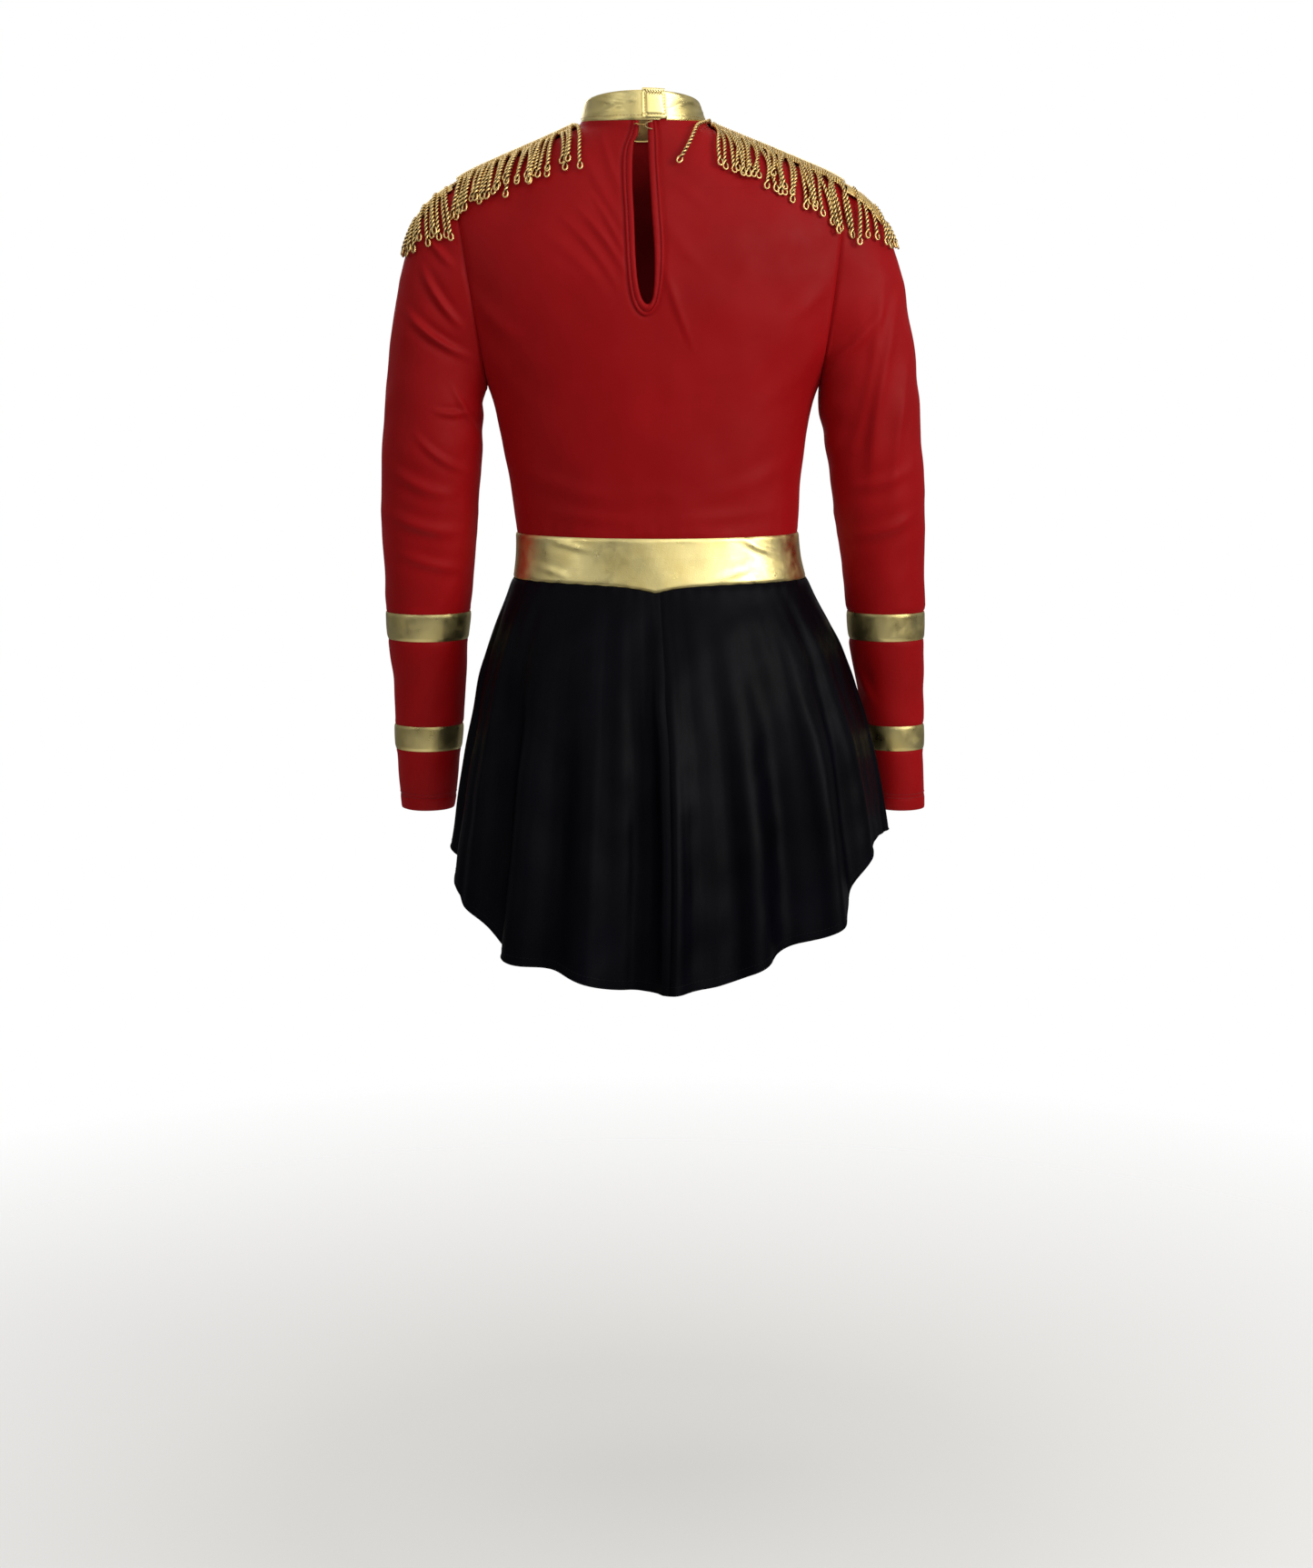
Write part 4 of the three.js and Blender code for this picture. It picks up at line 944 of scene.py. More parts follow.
H = math.pi / 2
skirt_objs = []
hemsoup = Soup()
hemstitch = Soup()
for name, a, b in (("skirt_back_left", 0, H), ("skirt_front_left", H, 2 * H), ("skirt_front_right", 2 * H, 3 * H), ("skirt_back_right", 3 * H, 4 * H)):
    nu, nv = 150, 100
    psi = np.linspace(a, b, nu)[None, :]
    v = (np.linspace(0, 1, nv) ** 1.0)[:, None]
    P = skirt(psi, v)
    t = (WAIST_BOTTOM - 0.35) - P[..., 2]
    out = facing(P)
    N = grid_normals(P) * out
    du = arc(P, 1)
    e = np.minimum(du, du[:, -1:] - du)
    D = skirt_detail(P, psi, v, t) * ss(0, 8, e) + seam_dip(e, 1.6, 0.6) + seam_dip(t, 2.5, 0.9)
    Q = P + N * D[..., None]
    o = shell(name + "_crepe", Q, out, thick=0.6, mat=BLACK)
    on("uniform", o)
    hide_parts(name)
    s1 = np.linalg.norm(np.cross(Q[1:, 1:] - Q[:-1, :-1], Q[1:, :-1] - Q[:-1, 1:]), axis=-1).sum() / 2 / 1e6
    skirt_objs.append((o, s1, float(arc(Q, 1)[-1, -1]) / 1000, float(arc(Q, 0)[-1].max()) / 1000))
    C = Q[-1] + np.array([0, 0, -0.2]) - N[-1] * 0.3
    Ck = resample(C, 2.0)
    hemsoup.add(*tube_arrays(Ck, 0.95, 7))
    k = nv - 3
    stitches(hemstitch, resample(Q[k] + N[k] * 0.15, 0.8), 2.2, 1.2, 0.2)
hem = hemsoup.make("skirt_rolled_hem", BLACK, sharp=None)
hst = hemstitch.make("skirt_hem_stitching", THREAD_BLACK)
on("uniform", hem, hst)
for o, area, wdt, lng in skirt_objs:
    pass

# ======================================================================
# Built-in brief
# ======================================================================
BRIEF = np.array([
    [-431, -6, 134, 78.5, 83.5], [-460, -7, 140, 88, 84], [-500, -8, 148, 99, 83], [-540, -9, 152, 104, 81],
    [-575, -9, 150, 103, 77], [-605, -9, 142, 92, 66], [-630, -9, 130, 68, 46], [-645, -9, 120, 36, 26], [-652, -9, 112, 4, 4]], float)


def leg_edge(z, back):
    k = np.clip((-536 - z) / 116, 0, 1)
    return (math.pi / 2 - 0.30) * k ** (0.62 if back else 0.5)


def brief(back, u, v):
    z = lerp(-431, -651, v)
    e = leg_edge(z, back)
    th = lerp(e, np.pi - e, u) if back else lerp(-e, -np.pi + e, u)
    d = table(BRIEF, z, 3 if back else 4)
    z_, _ = np.broadcast_arrays(z, th)
    P = np.stack([table(BRIEF, z, 1) + table(BRIEF, z, 2) * np.cos(th), d * np.sin(th), z_], -1)
    f = ss(-640, -651, z_)
    P[..., 1] = lerp(P[..., 1], 0.0, f)
    return P


edges = {}
for back in (True, False):
    P = brief(back, np.linspace(0, 1, 110)[None, :], (np.linspace(0, 1, 90) ** 0.9)[:, None])
    out = facing(P)
    N = grid_normals(P) * out
    e = arc(P, 1)
    e = np.minimum(e, e[:, -1:] - e)
    D = 0.5 * N1(P, 60) + 0.25 * N2(P, 20) + 0.3 * np.sin(arc(P, 0) / 1.6) * np.exp(-e / 8) * ss(-530, -545, P[..., 2])
    Q = P + N * (D * ss(0, 5, e))[..., None]
    nm = "back" if back else "front"
    o = shell("brief_%s_knit" % nm, Q, out, thick=0.8, mat=ELASTIC)
    on("uniform", o)
    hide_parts("brief_" + nm)
    edges[nm] = P
for side, col, sg in (("left", 0, 1), ("right", -1, -1)):
    eb, ef = edges["back"][:, col], edges["front"][:, col]
    eb, ef = eb[eb[:, 2] < -545], ef[ef[:, 2] < -545]
    off = np.array([sg * 1.6, 0, -1.5])
    C = np.concatenate([eb + off, ef[::-1] + off, np.array([[-9 + sg * 153.6, 0, -539.0]])])
    C = smooth_line(np.vstack([C[::6], C[:1]]), 220)[:-1]
    V, F = tube_arrays(C, 1.7 + 0.25 * np.sin(np.arange(len(C)) * 1.4), 8, closed=True)
    o = make_mesh("leg_elastic_%s_band" % side, V, F, uv=np.zeros((len(V), 2)), sharp=None)
    o.data.materials.append(ELASTIC)
    on("uniform", o)
    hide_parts("leg_elastic_" + side)

# ======================================================================
# Sleeves
# ======================================================================
def sleeve_detail(side, P, phi):
    x, z = P[..., 0], P[..., 2]
    back = ss(-0.15, 0.35, np.sin(phi))
    D = crease(x, z, [(a, b, c, d, w * 0.68, h * 2.1, k) for a, b, c, d, w, h, k in SLEEVE_CREASES[side]]) * back
    # the inner bend of the elbow and the front of the upper arm
    FR = [(side * 250, -352, side * 180, -360, 5, 1.3, 2), (side * 246, -368, side * 176, -372, 5, 1.5, -1), (side * 248, -385, side * 182, -392, 5, 1.1, 2),
          (side * 240, -150, side * 196, -196, 6, 1.2, -3), (side * 236, -190, side * 176, -236, 7, 1.2, -3), (side * 244, -420, side * 190, -430, 6, 0.8, 1)]
    D = D + crease(x, z, FR) * (1 - back)
    D = D + 0.7 * N1(P, 70) + 0.3 * N2(P, 30)
    # drag lines round the underarm
    inner = ss(0.2, 0.95, -np.cos(phi))
    D = D + inner * 0.8 * np.sin((z + 250) / 5.5 + 1.5 * np.sin(phi * 2)) * np.exp(-((z + 285) / 40) ** 2)
    return D


NPH = 120
PHI = np.linspace(0, 2 * np.pi, NPH, endpoint=False)[None, :]


def rings(side, zs):
    return sleeve(side, PHI, np.asarray(zs, float)[:, None])


def with_detail(side, P, ends=(0, 0), seam=0.7, foil=0.0, swell=0.0, raise_=0.0):
    out = facing(P, True)
    N = grid_normals(P, True) * out
    dv = arc(P, 0)
    top, bot = dv, dv[-1:] - dv
    D = foil_detail(P, foil) if foil else sleeve_detail(side, P, PHI)
    fade = np.ones_like(dv)
    if ends[0]:
        fade = fade * ss(0, 6, top)
    if ends[1]:
        fade = fade * ss(0, 6, bot)
    D = D * fade + raise_
    if ends[0]:
        D = D + seam_dip(top, 1.7, seam)
    if ends[1]:
        D = D + seam_dip(bot, 1.7, seam)
    if swell:
        D = D + swell * np.sin(np.clip(dv / dv[-1:], 0, 1) * np.pi)
    return P + N * D[..., None], out


for side, S in ((1, "left"), (-1, "right")):
    U, Fb = "upper_sleeve_" + S, "forearm_sleeve_" + S
    T1 = (np.linspace(0, 1, 86) ** 0.92)[:, None]
    Pc_ = crown(side, PHI, T1)
    zs = np.linspace(-271, -330, 22)
    P = np.concatenate([Pc_, rings(side, zs)], 0)
    soft = ss(66, 78, np.arange(len(P))) * (1 - ss(len(P) - 12, len(P) - 4, np.arange(len(P))))
    for _ in range(60):
        A_ = P.copy()
        A_[1:-1] = (P[:-2] + 2 * P[1:-1] + P[2:]) / 4
        P = P + (A_ - P) * soft[:, None, None]
    zs2 = np.linspace(-330, STRIPE1[0], 52)
    P2 = rings(side, zs2)
    Q, out = with_detail(side, P, (1, 0), 0.8)
    Q2, _ = with_detail(side, P2, (0, 1))
    Q2[0] = Q[-1]
    NQ = grid_normals(np.concatenate([Q, Q2[1:]]), True) * out
    L_ = arc(np.concatenate([Q, Q[:, :1]], 1), 0)[-1].mean()
    # seam allowance: the sleeve's edge turns in under the bodice all round the armhole
    rad = (Q[0] - Q[0].mean(0)) * np.array([0, 1, 1])
    rad /= np.linalg.norm(rad, axis=-1, keepdims=True)
    med = np.array([-side, 0, 0])
    tuck = np.stack([Q[0] + med * 4.5 - rad * 1.8, Q[0] + med * 0.6 - rad * 1.1])
    o = shell("sleeve_top_%s_knit" % S, np.concatenate([tuck, Q]), out, wrap=True, thick=0.7, mat=RED, mat_in=RED_IN, nrm=np.concatenate([NQ[:1], NQ[:1], NQ[:len(Q)]]))
    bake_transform(o)
    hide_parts("sleeve_cap_" + S, "sleeve_upper_" + S)
    o2 = shell("sleeve_arm_%s_knit" % S, Q2, out, wrap=True, thick=0.7, mat=RED, mat_in=RED_IN, nrm=NQ[len(Q) - 1:], vlen=L_)
    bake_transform(o2)
    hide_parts("sleeve_elbow_" + S, "sleeve_lower_" + S)
    st = Soup()
    for nm, z0, z1, nd, foil in (("stripe_upper_", STRIPE1[0], STRIPE1[1], 22, 1), ("sleeve_mid_", STRIPE1[1], STRIPE2[0], 40, 0),
                                 ("stripe_lower_", STRIPE2[0], STRIPE2[1], 22, 1), ("cuff_", STRIPE2[1], SLEEVE_END, 34, 0)):
        P3 = rings(side, np.linspace(z0, z1, nd))
        last = nm == "cuff_"
        if foil:
            Q3, out = with_detail(side, P3, (1, 1), 0.6, foil=1.1, swell=0.35, raise_=0.45)
            o3 = shell(nm + S + "_foil", Q3, out, wrap=True, thick=1.0, mat=FOIL)
        else:
            Q3, out = with_detail(side, P3, (1, 0 if last else 1), 0.6)
            if last:
                # turned-up hem stands a little proud below its stitching
                dv = arc(Q3, 0)
                b_ = dv[-1:] - dv
                N3_ = grid_normals(Q3, True) * out
                Q3 = Q3 + N3_ * ((0.45 * (1 - ss(12, 14, b_)) - 0.35 * np.exp(-((b_ - 13.5) / 1.3) ** 2) - 0.4 * np.exp(-(b_ / 1.0) ** 2))[..., None])
                kk = [int(np.argmin(np.abs(b_[:, 0] - q))) for q in (13.0, 16.0)]
                for k in kk:
                    stitches(st, resample(np.vstack([Q3[k] + N3_[k] * 0.25, Q3[k, :1] + N3_[k, :1] * 0.25]), 0.7), 2.2, 0.9, 0.22)
            o3 = shell(nm + S + "_knit", Q3, out, wrap=True, thick=1.4 if last else 0.7, mat=RED, mat_in=RED_IN)
        on(Fb, o3)
        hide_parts(nm + S)
    so = st.make("cuff_stitching_" + S, THREAD_RED)
    on(Fb, so)

# ======================================================================
# Fringe epaulettes
# ======================================================================
def crest_level(side, x):
    L = np.linspace(-5, -67, 800)
    e = side * (table(TORSO, L, 1) + side * table(TORSO, L, 2))
    return np.interp(side * x, e, L)


class ShoulderMap:
    """Points and normals of the bodice by x and by distance down from the crest."""

    def __init__(self, side, sgn):
        self.xs = np.linspace(40, 190, 76) if side > 0 else -np.linspace(16, 184, 85)
        near = 62.0 if side > 0 else 49.0
        self.s = np.linspace(0, 80, 81)
        P = np.empty((len(self.xs), len(self.s), 3))
        for i, x in enumerate(self.xs):
            L0 = float(crest_level(side, side * max(abs(x), near)))
            L = L0 - np.concatenate([np.linspace(0, 1, 40)[:-1] ** 3 * 2, np.linspace(2, 108, 420)]) - 0.01
            c = np.clip((x - table(TORSO, L, 1)) / table(TORSO, L, 2), -1, 1)
            Q = torso(sgn * np.arccos(c), L)
            if abs(x) < near:
                R_ = torso(sgn * np.arccos(np.clip((side * near - table(TORSO, L, 1)) / table(TORSO, L, 2), -1, 1)), L)
                dn = np.concatenate([[0], np.cumsum(np.linalg.norm(np.diff(R_, axis=0), axis=1))])
                for k in range(3):
                    P[i, :, k] = np.interp(self.s, dn, Q[:, k])
                continue
            d = np.concatenate([[0], np.cumsum(np.linalg.norm(np.diff(Q, axis=0), axis=1))])
            for k in range(3):
                P[i, :, k] = np.interp(self.s, d, Q[:, k])
        self.P = P
        N = np.cross(np.gradient(P, axis=0), np.gradient(P, axis=1))
        N /= np.maximum(np.linalg.norm(N, axis=-1, keepdims=True), 1e-9)
        ref = np.array([0, sgn * 0.6, 1.0])
        N *= np.sign((N @ ref))[..., None]
        self.N = N

    def __call__(self, x, s):
        fi = np.interp(np.abs(x), np.abs(self.xs), np.arange(len(self.xs)))
        fs = np.interp(s, self.s, np.arange(len(self.s)))
        i, j = np.minimum(fi.astype(int), len(self.xs) - 2), np.minimum(fs.astype(int), len(self.s) - 2)
        a, b = (fi - i)[..., None], (fs - j)[..., None]

        def g(M):
            return (M[i, j] * (1 - a) + M[i + 1, j] * a) * (1 - b) + (M[i, j + 1] * (1 - a) + M[i + 1, j + 1] * a) * b
        N = g(self.N)
        return g(self.P), N / np.maximum(np.linalg.norm(N, axis=-1, keepdims=True), 1e-9)


def crown_pn(side, phi, t):
    t = np.clip(t, 0.004, 0.995)
    P = crown(side, phi, t)
    a = crown(side, phi + 0.01, t) - crown(side, phi - 0.01, t)
    b = crown(side, phi, t + 0.004) - crown(side, phi, t - 0.004)
    N = np.cross(a, b)
    N /= np.linalg.norm(N, axis=-1, keepdims=True)
    c = (crown(side, np.zeros_like(phi), t) + crown(side, np.full_like(phi, np.pi), t)) / 2
    N *= np.sign(((P - c) * N).sum(-1))[..., None]
    return P, N


def strand(soup, C, flat, rho=1.10, r=0.94, pitch=8.8, sides=8):
    """Two plies twisted together, running down and back up through an open loop that lies flat at the tip."""
    C = resample(C, 1.15)
    T, A, B = frames(C)
    d = np.concatenate([[0], np.cumsum(np.linalg.norm(np.diff(C, axis=0), axis=1))])
    L = d[-1]
    across = np.cross(T[-1], flat)
    w = math.atan2(across @ B[-1], across @ A[-1]) + (np.minimum(d, L - 4.2) - (L - 4.2)) / pitch * 2 * np.pi
    rr = rho * (1 + 1.05 * np.sin(ss(L - 5.0, L - 0.6, d) * np.pi * 0.72))
    o = (A * np.cos(w)[:, None] + B * np.sin(w)[:, None]) * rr[:, None]
    e1, e2, e3 = C[-1] + T[-1] * 1.1 + o[-1] * 0.62, C[-1] + T[-1] * 1.6, C[-1] + T[-1] * 1.1 - o[-1] * 0.62
    path = np.vstack([C + o, [e1], [e2], [e3], (C - o)[::-1]])
    V, F = tube_arrays(path, r, sides)
    centres = np.vstack([C, [C[-1]], [C[-1]], [C[-1]], C[::-1]])
    # UV v marks the valleys between the two plies, where the cord material paints shade
    soup.add(V, F, ply_shade_uv(V, centres, len(path), sides, 1.20 * rho, rho + 0.94 * r))


rng = np.random.default_rng(77)
for side, S in ((1, "left"), (-1, "right")):
    for sgn, W in ((1, "back"), (-1, "front")):
        M = ShoulderMap(side, sgn)
        soup = Soup()
        xa, xb = (70, 181) if side > 0 else (-50, -175)
        cnt = 30 if side > 0 else 30
        LX = [50, 72, 90, 110, 130, 150, 170, 182]
        LL = [74, 73, 70, 66, 62, 58, 55, 53] if side > 0 else [72, 71, 70, 70, 71, 71, 68, 65]
        group = 0.0
        for k in range(cnt):
            x0 = lerp(xa, xb, (k + 0.5) / cnt) + rng.normal(0, 0.45)
            f = k / cnt
            if k % 4 == 0:
                group = rng.normal(0, 0.06)
            ln = min(float(np.interp(abs(x0), LX, LL)) + rng.normal(0, 3.2), 75.5)
            lean = lerp(0.06, 0.20, f) + group + rng.normal(0, 0.045)
            wob, ph = rng.uniform(0.3, 1.4), rng.uniform(0, 6.28)
            lift = rng.uniform(2.5, 3.2) + (2.2 if k % 3 == 1 else 0.0)
            if side < 0:
                lean = lerp(-0.02, 0.18, f) + rng.normal(0, 0.085)
                wob = rng.uniform(0.6, 2.6)
            if sgn > 0 and k == 0:
                lean, lift, ln = (-0.09, 4.6, 71.0) if side > 0 else (-0.36, 5.4, 79.0)
            if sgn > 0 and side < 0 and k in (1, 2, 3, 4):
                lean, ln = 0.10 + 0.02 * k, 74.5
                x0 -= side * (5 - k) * 0.9
            # keep the outer cords on the shoulder, not past the armhole
            lean = min(lean, (186 - abs(x0)) / ln) if side > 0 else min(lean, (184 - abs(x0)) / ln)
            s = np.linspace(4.2, ln, 54)
            x = x0 + side * (lean * np.clip(s, 0, None) + wob * np.sin(s / 11 + ph) * ss(6, 34, s))
            P, N = M(x, np.clip(s, 0, None))
            h = lerp(2.7, lift, ss(4, 14, s)) + 0.8 * ss(20, 60, s) * rng.uniform(0, 1.3)
            strand(soup, P + N * h[:, None], N[-1])
        # ribbed header: short upright cords packed side by side under the braid
        xs = np.linspace(xa + side * 1.0, xb - side * 1.0, 62)
        for x0 in xs:
            e_ = 13.0 if side > 0 else lerp(14.0, 21.0, ss(85, 125, abs(x0)))
            s = np.linspace(4.4, e_, 11)
            P, N = M(np.full_like(s, x0) + side * 0.10 * s, s)
            V_, F_ = tube_arrays(P + N * lerp(6.4, 3.4, ss(e_ - 8.0, e_, s))[:, None], 0.86, 6)
            # UV v runs from 0 on the side of each cord that faces the cloth to 1 on its outer side: painted shade
            # underneath
            q_ = np.linalg.norm(V_ - np.concatenate([np.repeat(P, 6, axis=0), P[:1], P[-1:]]), axis=1)
            soup.add(V_, F_, np.stack([np.zeros(len(V_)), ss(5.2, 6.9, q_ + np.concatenate([np.repeat(3.0 * ss(e_ - 8.0, e_, s), 6), [0, 3.0]]))], 1))
        o = soup.make("fringe_%s_%s_cords" % (W, S), BULLION)
        on("%s_fringe_%s" % (W, S), o)
        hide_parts("fringe_%s_%s" % (W, S))
    # cords over the crown of the sleeve and round the end of the braid
    soup = Soup()
    jobs = []
    for sgn in (1, -1):
        for k in range(10):
            t0 = lerp(0.02, 0.29, (k + 0.5) / 10)
            jobs.append((t0, sgn * lerp(78, 42, k / 9), (lerp(48, 38, k / 9) if side > 0 else lerp(47, 31, k / 9)) + rng.normal(0, 1.8)))
    for k in range(6):
        jobs.append((0.30, lerp(-36, 36, k / 5), rng.uniform(32, 37) if side > 0 else rng.uniform(25, 30)))
    if side < 0:
        jobs = [j for q, j in enumerate(jobs) if not (j[1] > 30 and q % 2)]
        jobs = [(a_, b_ - 14 if b_ > 38 else b_, c_ * (1.16 if b_ > 38 else 1.0)) for a_, b_, c_ in jobs]
    for q, (t0, al, ln) in enumerate(jobs):
        al = math.radians(al + rng.normal(0, 2.5))
        s = np.linspace(0.0, ln, 40)
        wob = rng.uniform(0.2, 1.0) * np.sin(s / 11 + rng.uniform(0, 6.28)) * ss(4, 30, s)
        phi = (math.sin(al) * s + wob * math.cos(al)) / 50
        t = t0 + (math.cos(al) * s - wob * math.sin(al)) / 205
        P, N = crown_pn(side, phi, t)
        h = lerp(2.2, rng.uniform(2.8, 3.5) + (1.8 if q % 3 == 0 else 0.0), ss(0, 8, s))
        strand(soup, P + N * h[:, None], N[-1])
    # the ribbed header goes on over the armhole and the crown of the sleeve
    for sgn in (1, -1):
        for t0 in np.linspace(-0.010, 0.285, 34):
            w_ = np.linspace(3.6, 13.0 if side > 0 else 17.0, 9)
            P, N = crown_pn(side, sgn * w_ / 50, np.full_like(w_, t0) + 0.0006 * w_)
            h = lerp(4.6, 2.2, ss(w_[-1] - 8.0, w_[-1], w_))
            V_, F_ = tube_arrays(P + N * h[:, None], 0.88, 6)
            # UV v is 0 on the side of each cord facing the sleeve and 1 on top: painted shade underneath
            q_ = np.linalg.norm(V_ - np.concatenate([np.repeat(P, 6, axis=0), P[:1], P[-1:]]), axis=1)
            q_ -= np.concatenate([np.repeat(h, 6), h[:1], h[-1:]])
            soup.add(V_, F_, np.stack([np.zeros(len(V_)), ss(-0.4, 0.5, q_)], 1))
    o = soup.make("fringe_tip_%s_cords" % S, BULLION)
    on("uniform", o)
    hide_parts("fringe_tip_" + S)
    # braid: three cords side by side, neighbours twisted opposite ways, on a woven backing
    soup = Soup()
    Mb, Mf = ShoulderMap(side, 1), ShoulderMap(side, -1)
    rows = []
    for q in (-4.2, -2.8, 0.0, 2.8, 4.2):
        M = Mb if q >= 0 else Mf
        xs = np.linspace(70, 180, 60) if side > 0 else -np.linspace(50, 173, 66)
        P, N = M(xs, np.full_like(xs, abs(q)))
        tt = np.linspace(0.05, 0.31, 26)
        P2_, N2_ = crown_pn(side, np.full_like(tt, q / 50), tt)
        C, NN = np.vstack([P, P2_]), np.vstack([N, N2_])
        # ease the step between bodice and sleeve
        for _ in range(6):
            NN[1:-1] = (NN[:-2] + NN[1:-1] * 2 + NN[2:]) / 4
            C[1:-1] = (C[:-2] + C[1:-1] * 2 + C[2:]) / 4
        NN /= np.linalg.norm(NN, axis=1)[:, None]
        rows.append((C, NN))
    for q, tw in ((1, 1), (2, -1), (3, 1)):
        C, NN = rows[q]
        C = resample(C + NN * 2.9, 0.9)
        T, A, B = frames(C)
        d = np.concatenate([[0], np.cumsum(np.linalg.norm(np.diff(C, axis=0), axis=1))])
        for ph in (0, math.pi):
            w = tw * d / 5.2 * 2 * np.pi + ph
            V, F = tube_arrays(C + (A * np.cos(w)[:, None] + B * np.sin(w)[:, None]) * 0.8, 0.82, 8)
            # UV v marks the valleys between the plies, where the cord material paints shade
            soup.add(V, F, ply_shade_uv(V, C, len(C), 8, 0.5, 1.4))
    Pg = np.stack([C + NN * (0.5 if k_ in (0, 4) else 1.3) for k_, (C, NN) in enumerate(rows)], 0)
    # its UV v stays near 0, so the cord material gives it the painted valley shade all over, a dark brown
    backing = shell("epaulette_backing_" + S, Pg, 1.0 if (np.cross(np.gradient(Pg, axis=1), np.gradient(Pg, axis=0))[2, 20, 2] > 0) else -1.0, thick=0.5, mat=THREAD_GOLD)
    o = soup.make("epaulette_braid_%s_cords" % S, BULLION)
    on("uniform", o, backing)
    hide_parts("epaulette_braid_" + S)

# ======================================================================
# Stage, light and camera
# ======================================================================
sc = bpy.context.scene
FLOOR_Z = -1.36
nf = 96
fv, ff = [[0, 0, FLOOR_Z * 1000]], []
radii = [300, 700, 1200, 1900, 2800, 4200]
for r_ in radii:
    for k in range(nf):
        a = 2 * math.pi * k / nf
        fv.append([r_ * math.cos(a), r_ * math.sin(a), FLOOR_Z * 1000])
for k in range(nf):
    ff.append([0, 1 + k, 1 + (k + 1) % nf])
for q in range(len(radii) - 1):
    for k in range(nf):
        a, b = 1 + q * nf + k, 1 + q * nf + (k + 1) % nf
        ff.append([a, a + nf, b + nf, b])
floor = make_mesh("floor", fv, ff, sharp=None)
fm, nt, b = new_mat("floor_pale", (0.86, 0.85, 0.83), 0.9)
tc = node(nt, "ShaderNodeTexCoord").outputs["Object"]
ln_ = node(nt, "ShaderNodeVectorMath", operation="LENGTH")
mp_ = node(nt, "ShaderNodeMapping")
mp_.inputs["Scale"].default_value = (1, 1, 0)
nt.links.new(tc, mp_.inputs["Vector"])
nt.links.new(mp_.outputs["Vector"], ln_.inputs[0])
mr = node(nt, "ShaderNodeMapRange", i_From_Min=0.35, i_From_Max=1.6, i_To_Min=1.0, i_To_Max=0.0)
nt.links.new(ln_.outputs["Value"], mr.inputs["Value"])
nt.links.new(mr.outputs["Result"], b.inputs["Alpha"])
floor.data.materials.append(fm)

w = bpy.data.worlds.new("studio")
sc.world = w
w.use_nodes = True
nt = w.node_tree
nt.nodes.clear()
outn = nt.nodes.new("ShaderNodeOutputWorld")
mixs = nt.nodes.new("ShaderNodeMixShader")
lp = nt.nodes.new("ShaderNodeLightPath")
bg1 = node(nt, "ShaderNodeBackground", i_Strength=0.42)
bg2 = node(nt, "ShaderNodeBackground", i_Strength=1.0)
bg2.inputs["Color"].default_value = (1, 1, 1, 1)
tcw = node(nt, "ShaderNodeTexCoord")
sep = node(nt, "ShaderNodeSeparateXYZ")
nt.links.new(tcw.outputs["Generated"], sep.inputs[0])
rw = node(nt, "ShaderNodeValToRGB")
rw.color_ramp.elements[0].position, rw.color_ramp.elements[1].position = 0.0, 1.0
rw.color_ramp.elements[0].color, rw.color_ramp.elements[1].color = (0.30, 0.29, 0.28, 1), (1.0, 0.99, 0.97, 1)
e_ = rw.color_ramp.elements.new(0.46); e_.color = (0.26, 0.26, 0.27, 1)
e_ = rw.color_ramp.elements.new(0.60); e_.color = (0.62, 0.62, 0.63, 1)
mz = node(nt, "ShaderNodeMapRange", i_From_Min=-1.0, i_From_Max=1.0)
nt.links.new(sep.outputs["Z"], mz.inputs["Value"])
nt.links.new(mz.outputs["Result"], rw.inputs["Fac"])
dt = node(nt, "ShaderNodeVectorMath", operation="DOT_PRODUCT")
dt.inputs[1].default_value = (-0.30, 0.88, 0.37)
nt.links.new(tcw.outputs["Generated"], dt.inputs[0])
gl = node(nt, "ShaderNodeMapRange", i_From_Min=0.80, i_From_Max=0.99, i_To_Min=0.0, i_To_Max=3.0)
gl.interpolation_type = "SMOOTHSTEP"
nt.links.new(dt.outputs["Value"], gl.inputs["Value"])
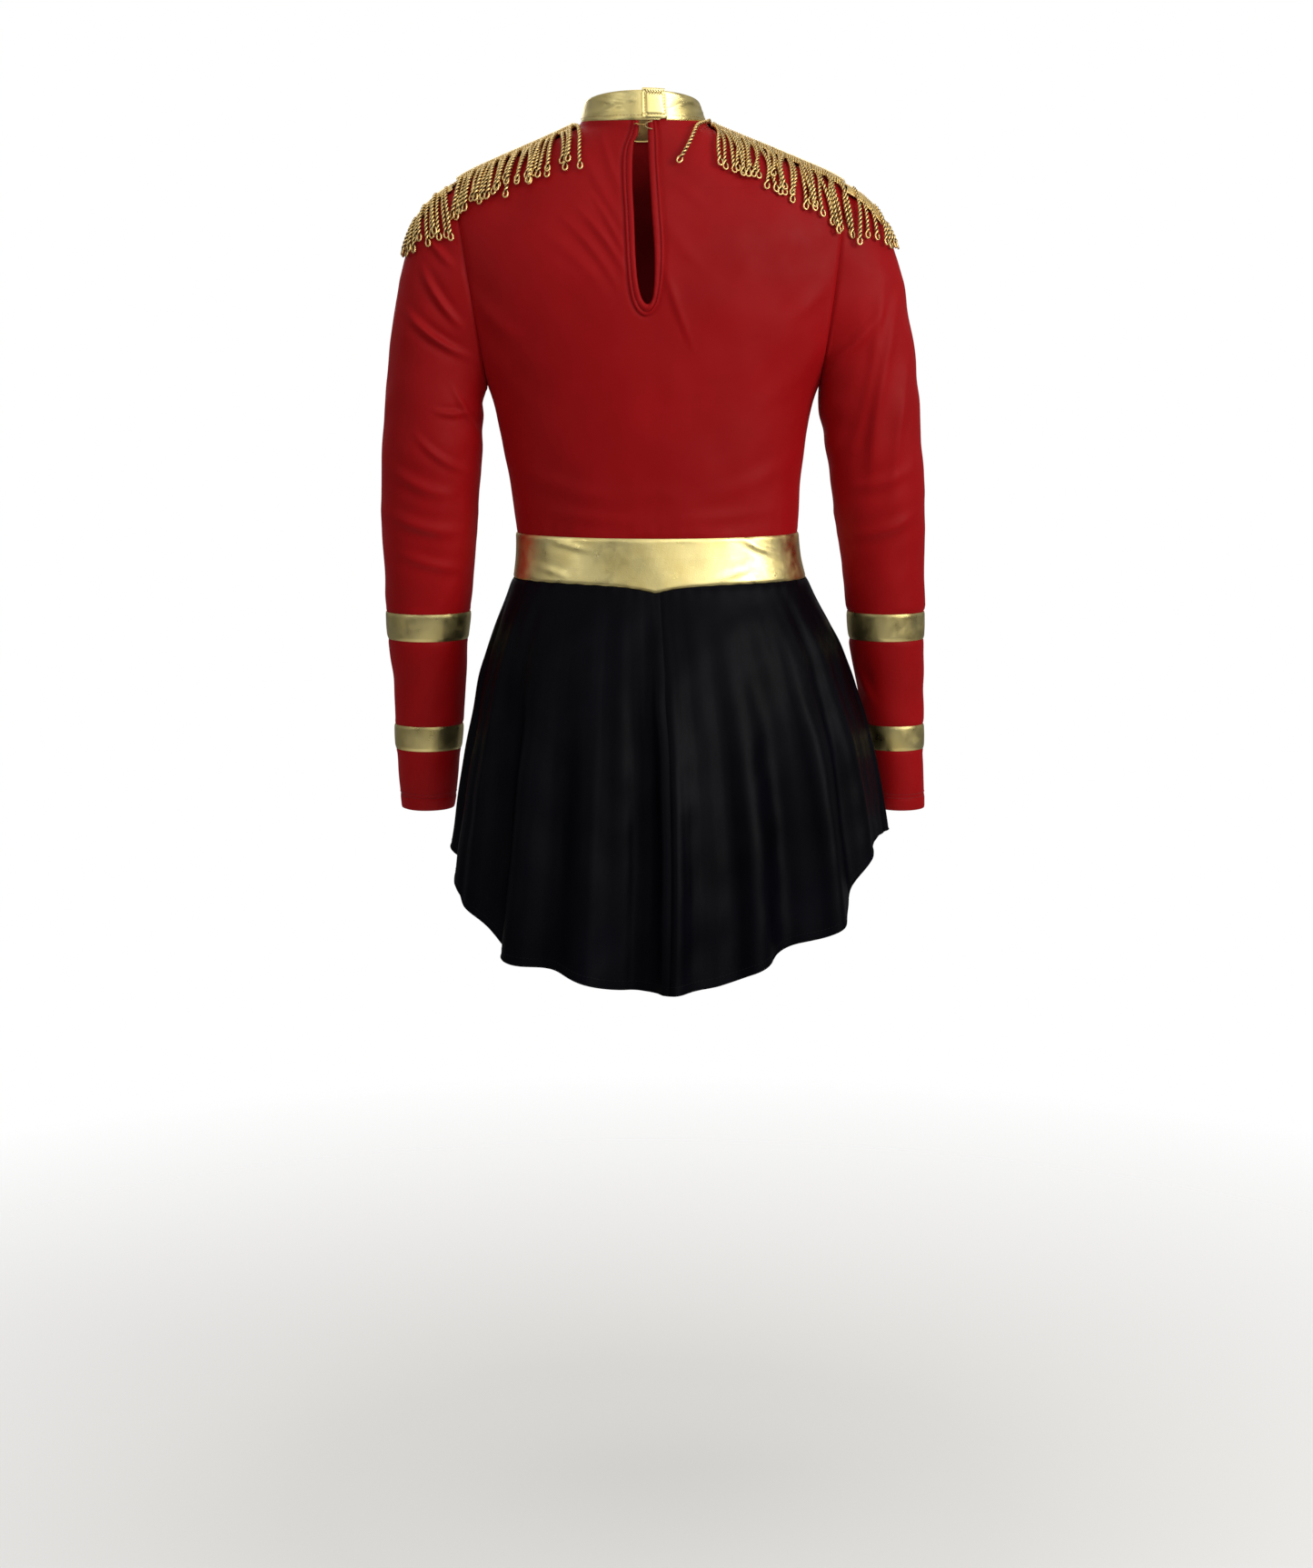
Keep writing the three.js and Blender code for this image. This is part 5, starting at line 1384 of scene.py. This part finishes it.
ad = node(nt, "ShaderNodeMixRGB", blend_type="ADD", i_Fac=1.0)
gc = nt.nodes.new("ShaderNodeCombineColor")
for k_ in range(3):
    nt.links.new(gl.outputs["Result"], gc.inputs[k_])
nt.links.new(rw.outputs["Color"], ad.inputs["Color1"])
nt.links.new(gc.outputs["Color"], ad.inputs["Color2"])
nt.links.new(ad.outputs["Color"], bg1.inputs["Color"])
nt.links.new(lp.outputs["Is Camera Ray"], mixs.inputs["Fac"])
nt.links.new(bg1.outputs[0], mixs.inputs[1])
nt.links.new(bg2.outputs[0], mixs.inputs[2])
nt.links.new(mixs.outputs[0], outn.inputs["Surface"])


def area(name, loc, target, size, power, colour=(1, 1, 1), shape="RECTANGLE", size_y=None):
    L = bpy.data.lights.new(name, "AREA")
    L.shape = shape
    L.size = size
    if shape == "RECTANGLE":
        L.size_y = size_y or size
    L.energy = power
    L.color = colour
    o = bpy.data.objects.new(name, L)
    o.location = loc
    d = Vector(target) - Vector(loc)
    o.rotation_euler = d.to_track_quat("-Z", "Y").to_euler()
    bpy.context.collection.objects.link(o)
    return o


area("key", (-2.3, 1.7, 0.5), (0, 0, -0.40), 1.2, 44, (1.0, 0.985, 0.96), size_y=1.6)
area("fill", (2.2, 1.9, 0.4), (0, 0, -0.4), 1.4, 8, (0.98, 0.99, 1.0), size_y=1.8)
area("top", (0.0, 0.3, 2.2), (0, 0, -0.3), 1.8, 12, (1.0, 0.99, 0.97), size_y=1.8)
area("front", (0.4, -2.6, 0.7), (0, 0, -0.4), 1.8, 24, (1.0, 0.99, 0.98), size_y=1.8)

cam = bpy.data.cameras.new("camera")
cam.sensor_fit = "AUTO"
cam.sensor_width = 36.0
cam.lens = 3325.0 / 1725.0 * 36.0
co = bpy.data.objects.new("camera", cam)
bpy.context.collection.objects.link(co)
co.location = (-0.003, 2.9, -0.145)
co.rotation_euler = (math.radians(90 - 9.602), 0, math.pi)
sc.camera = co
sc.view_settings.view_transform = "Standard"
sc.view_settings.look = "None"
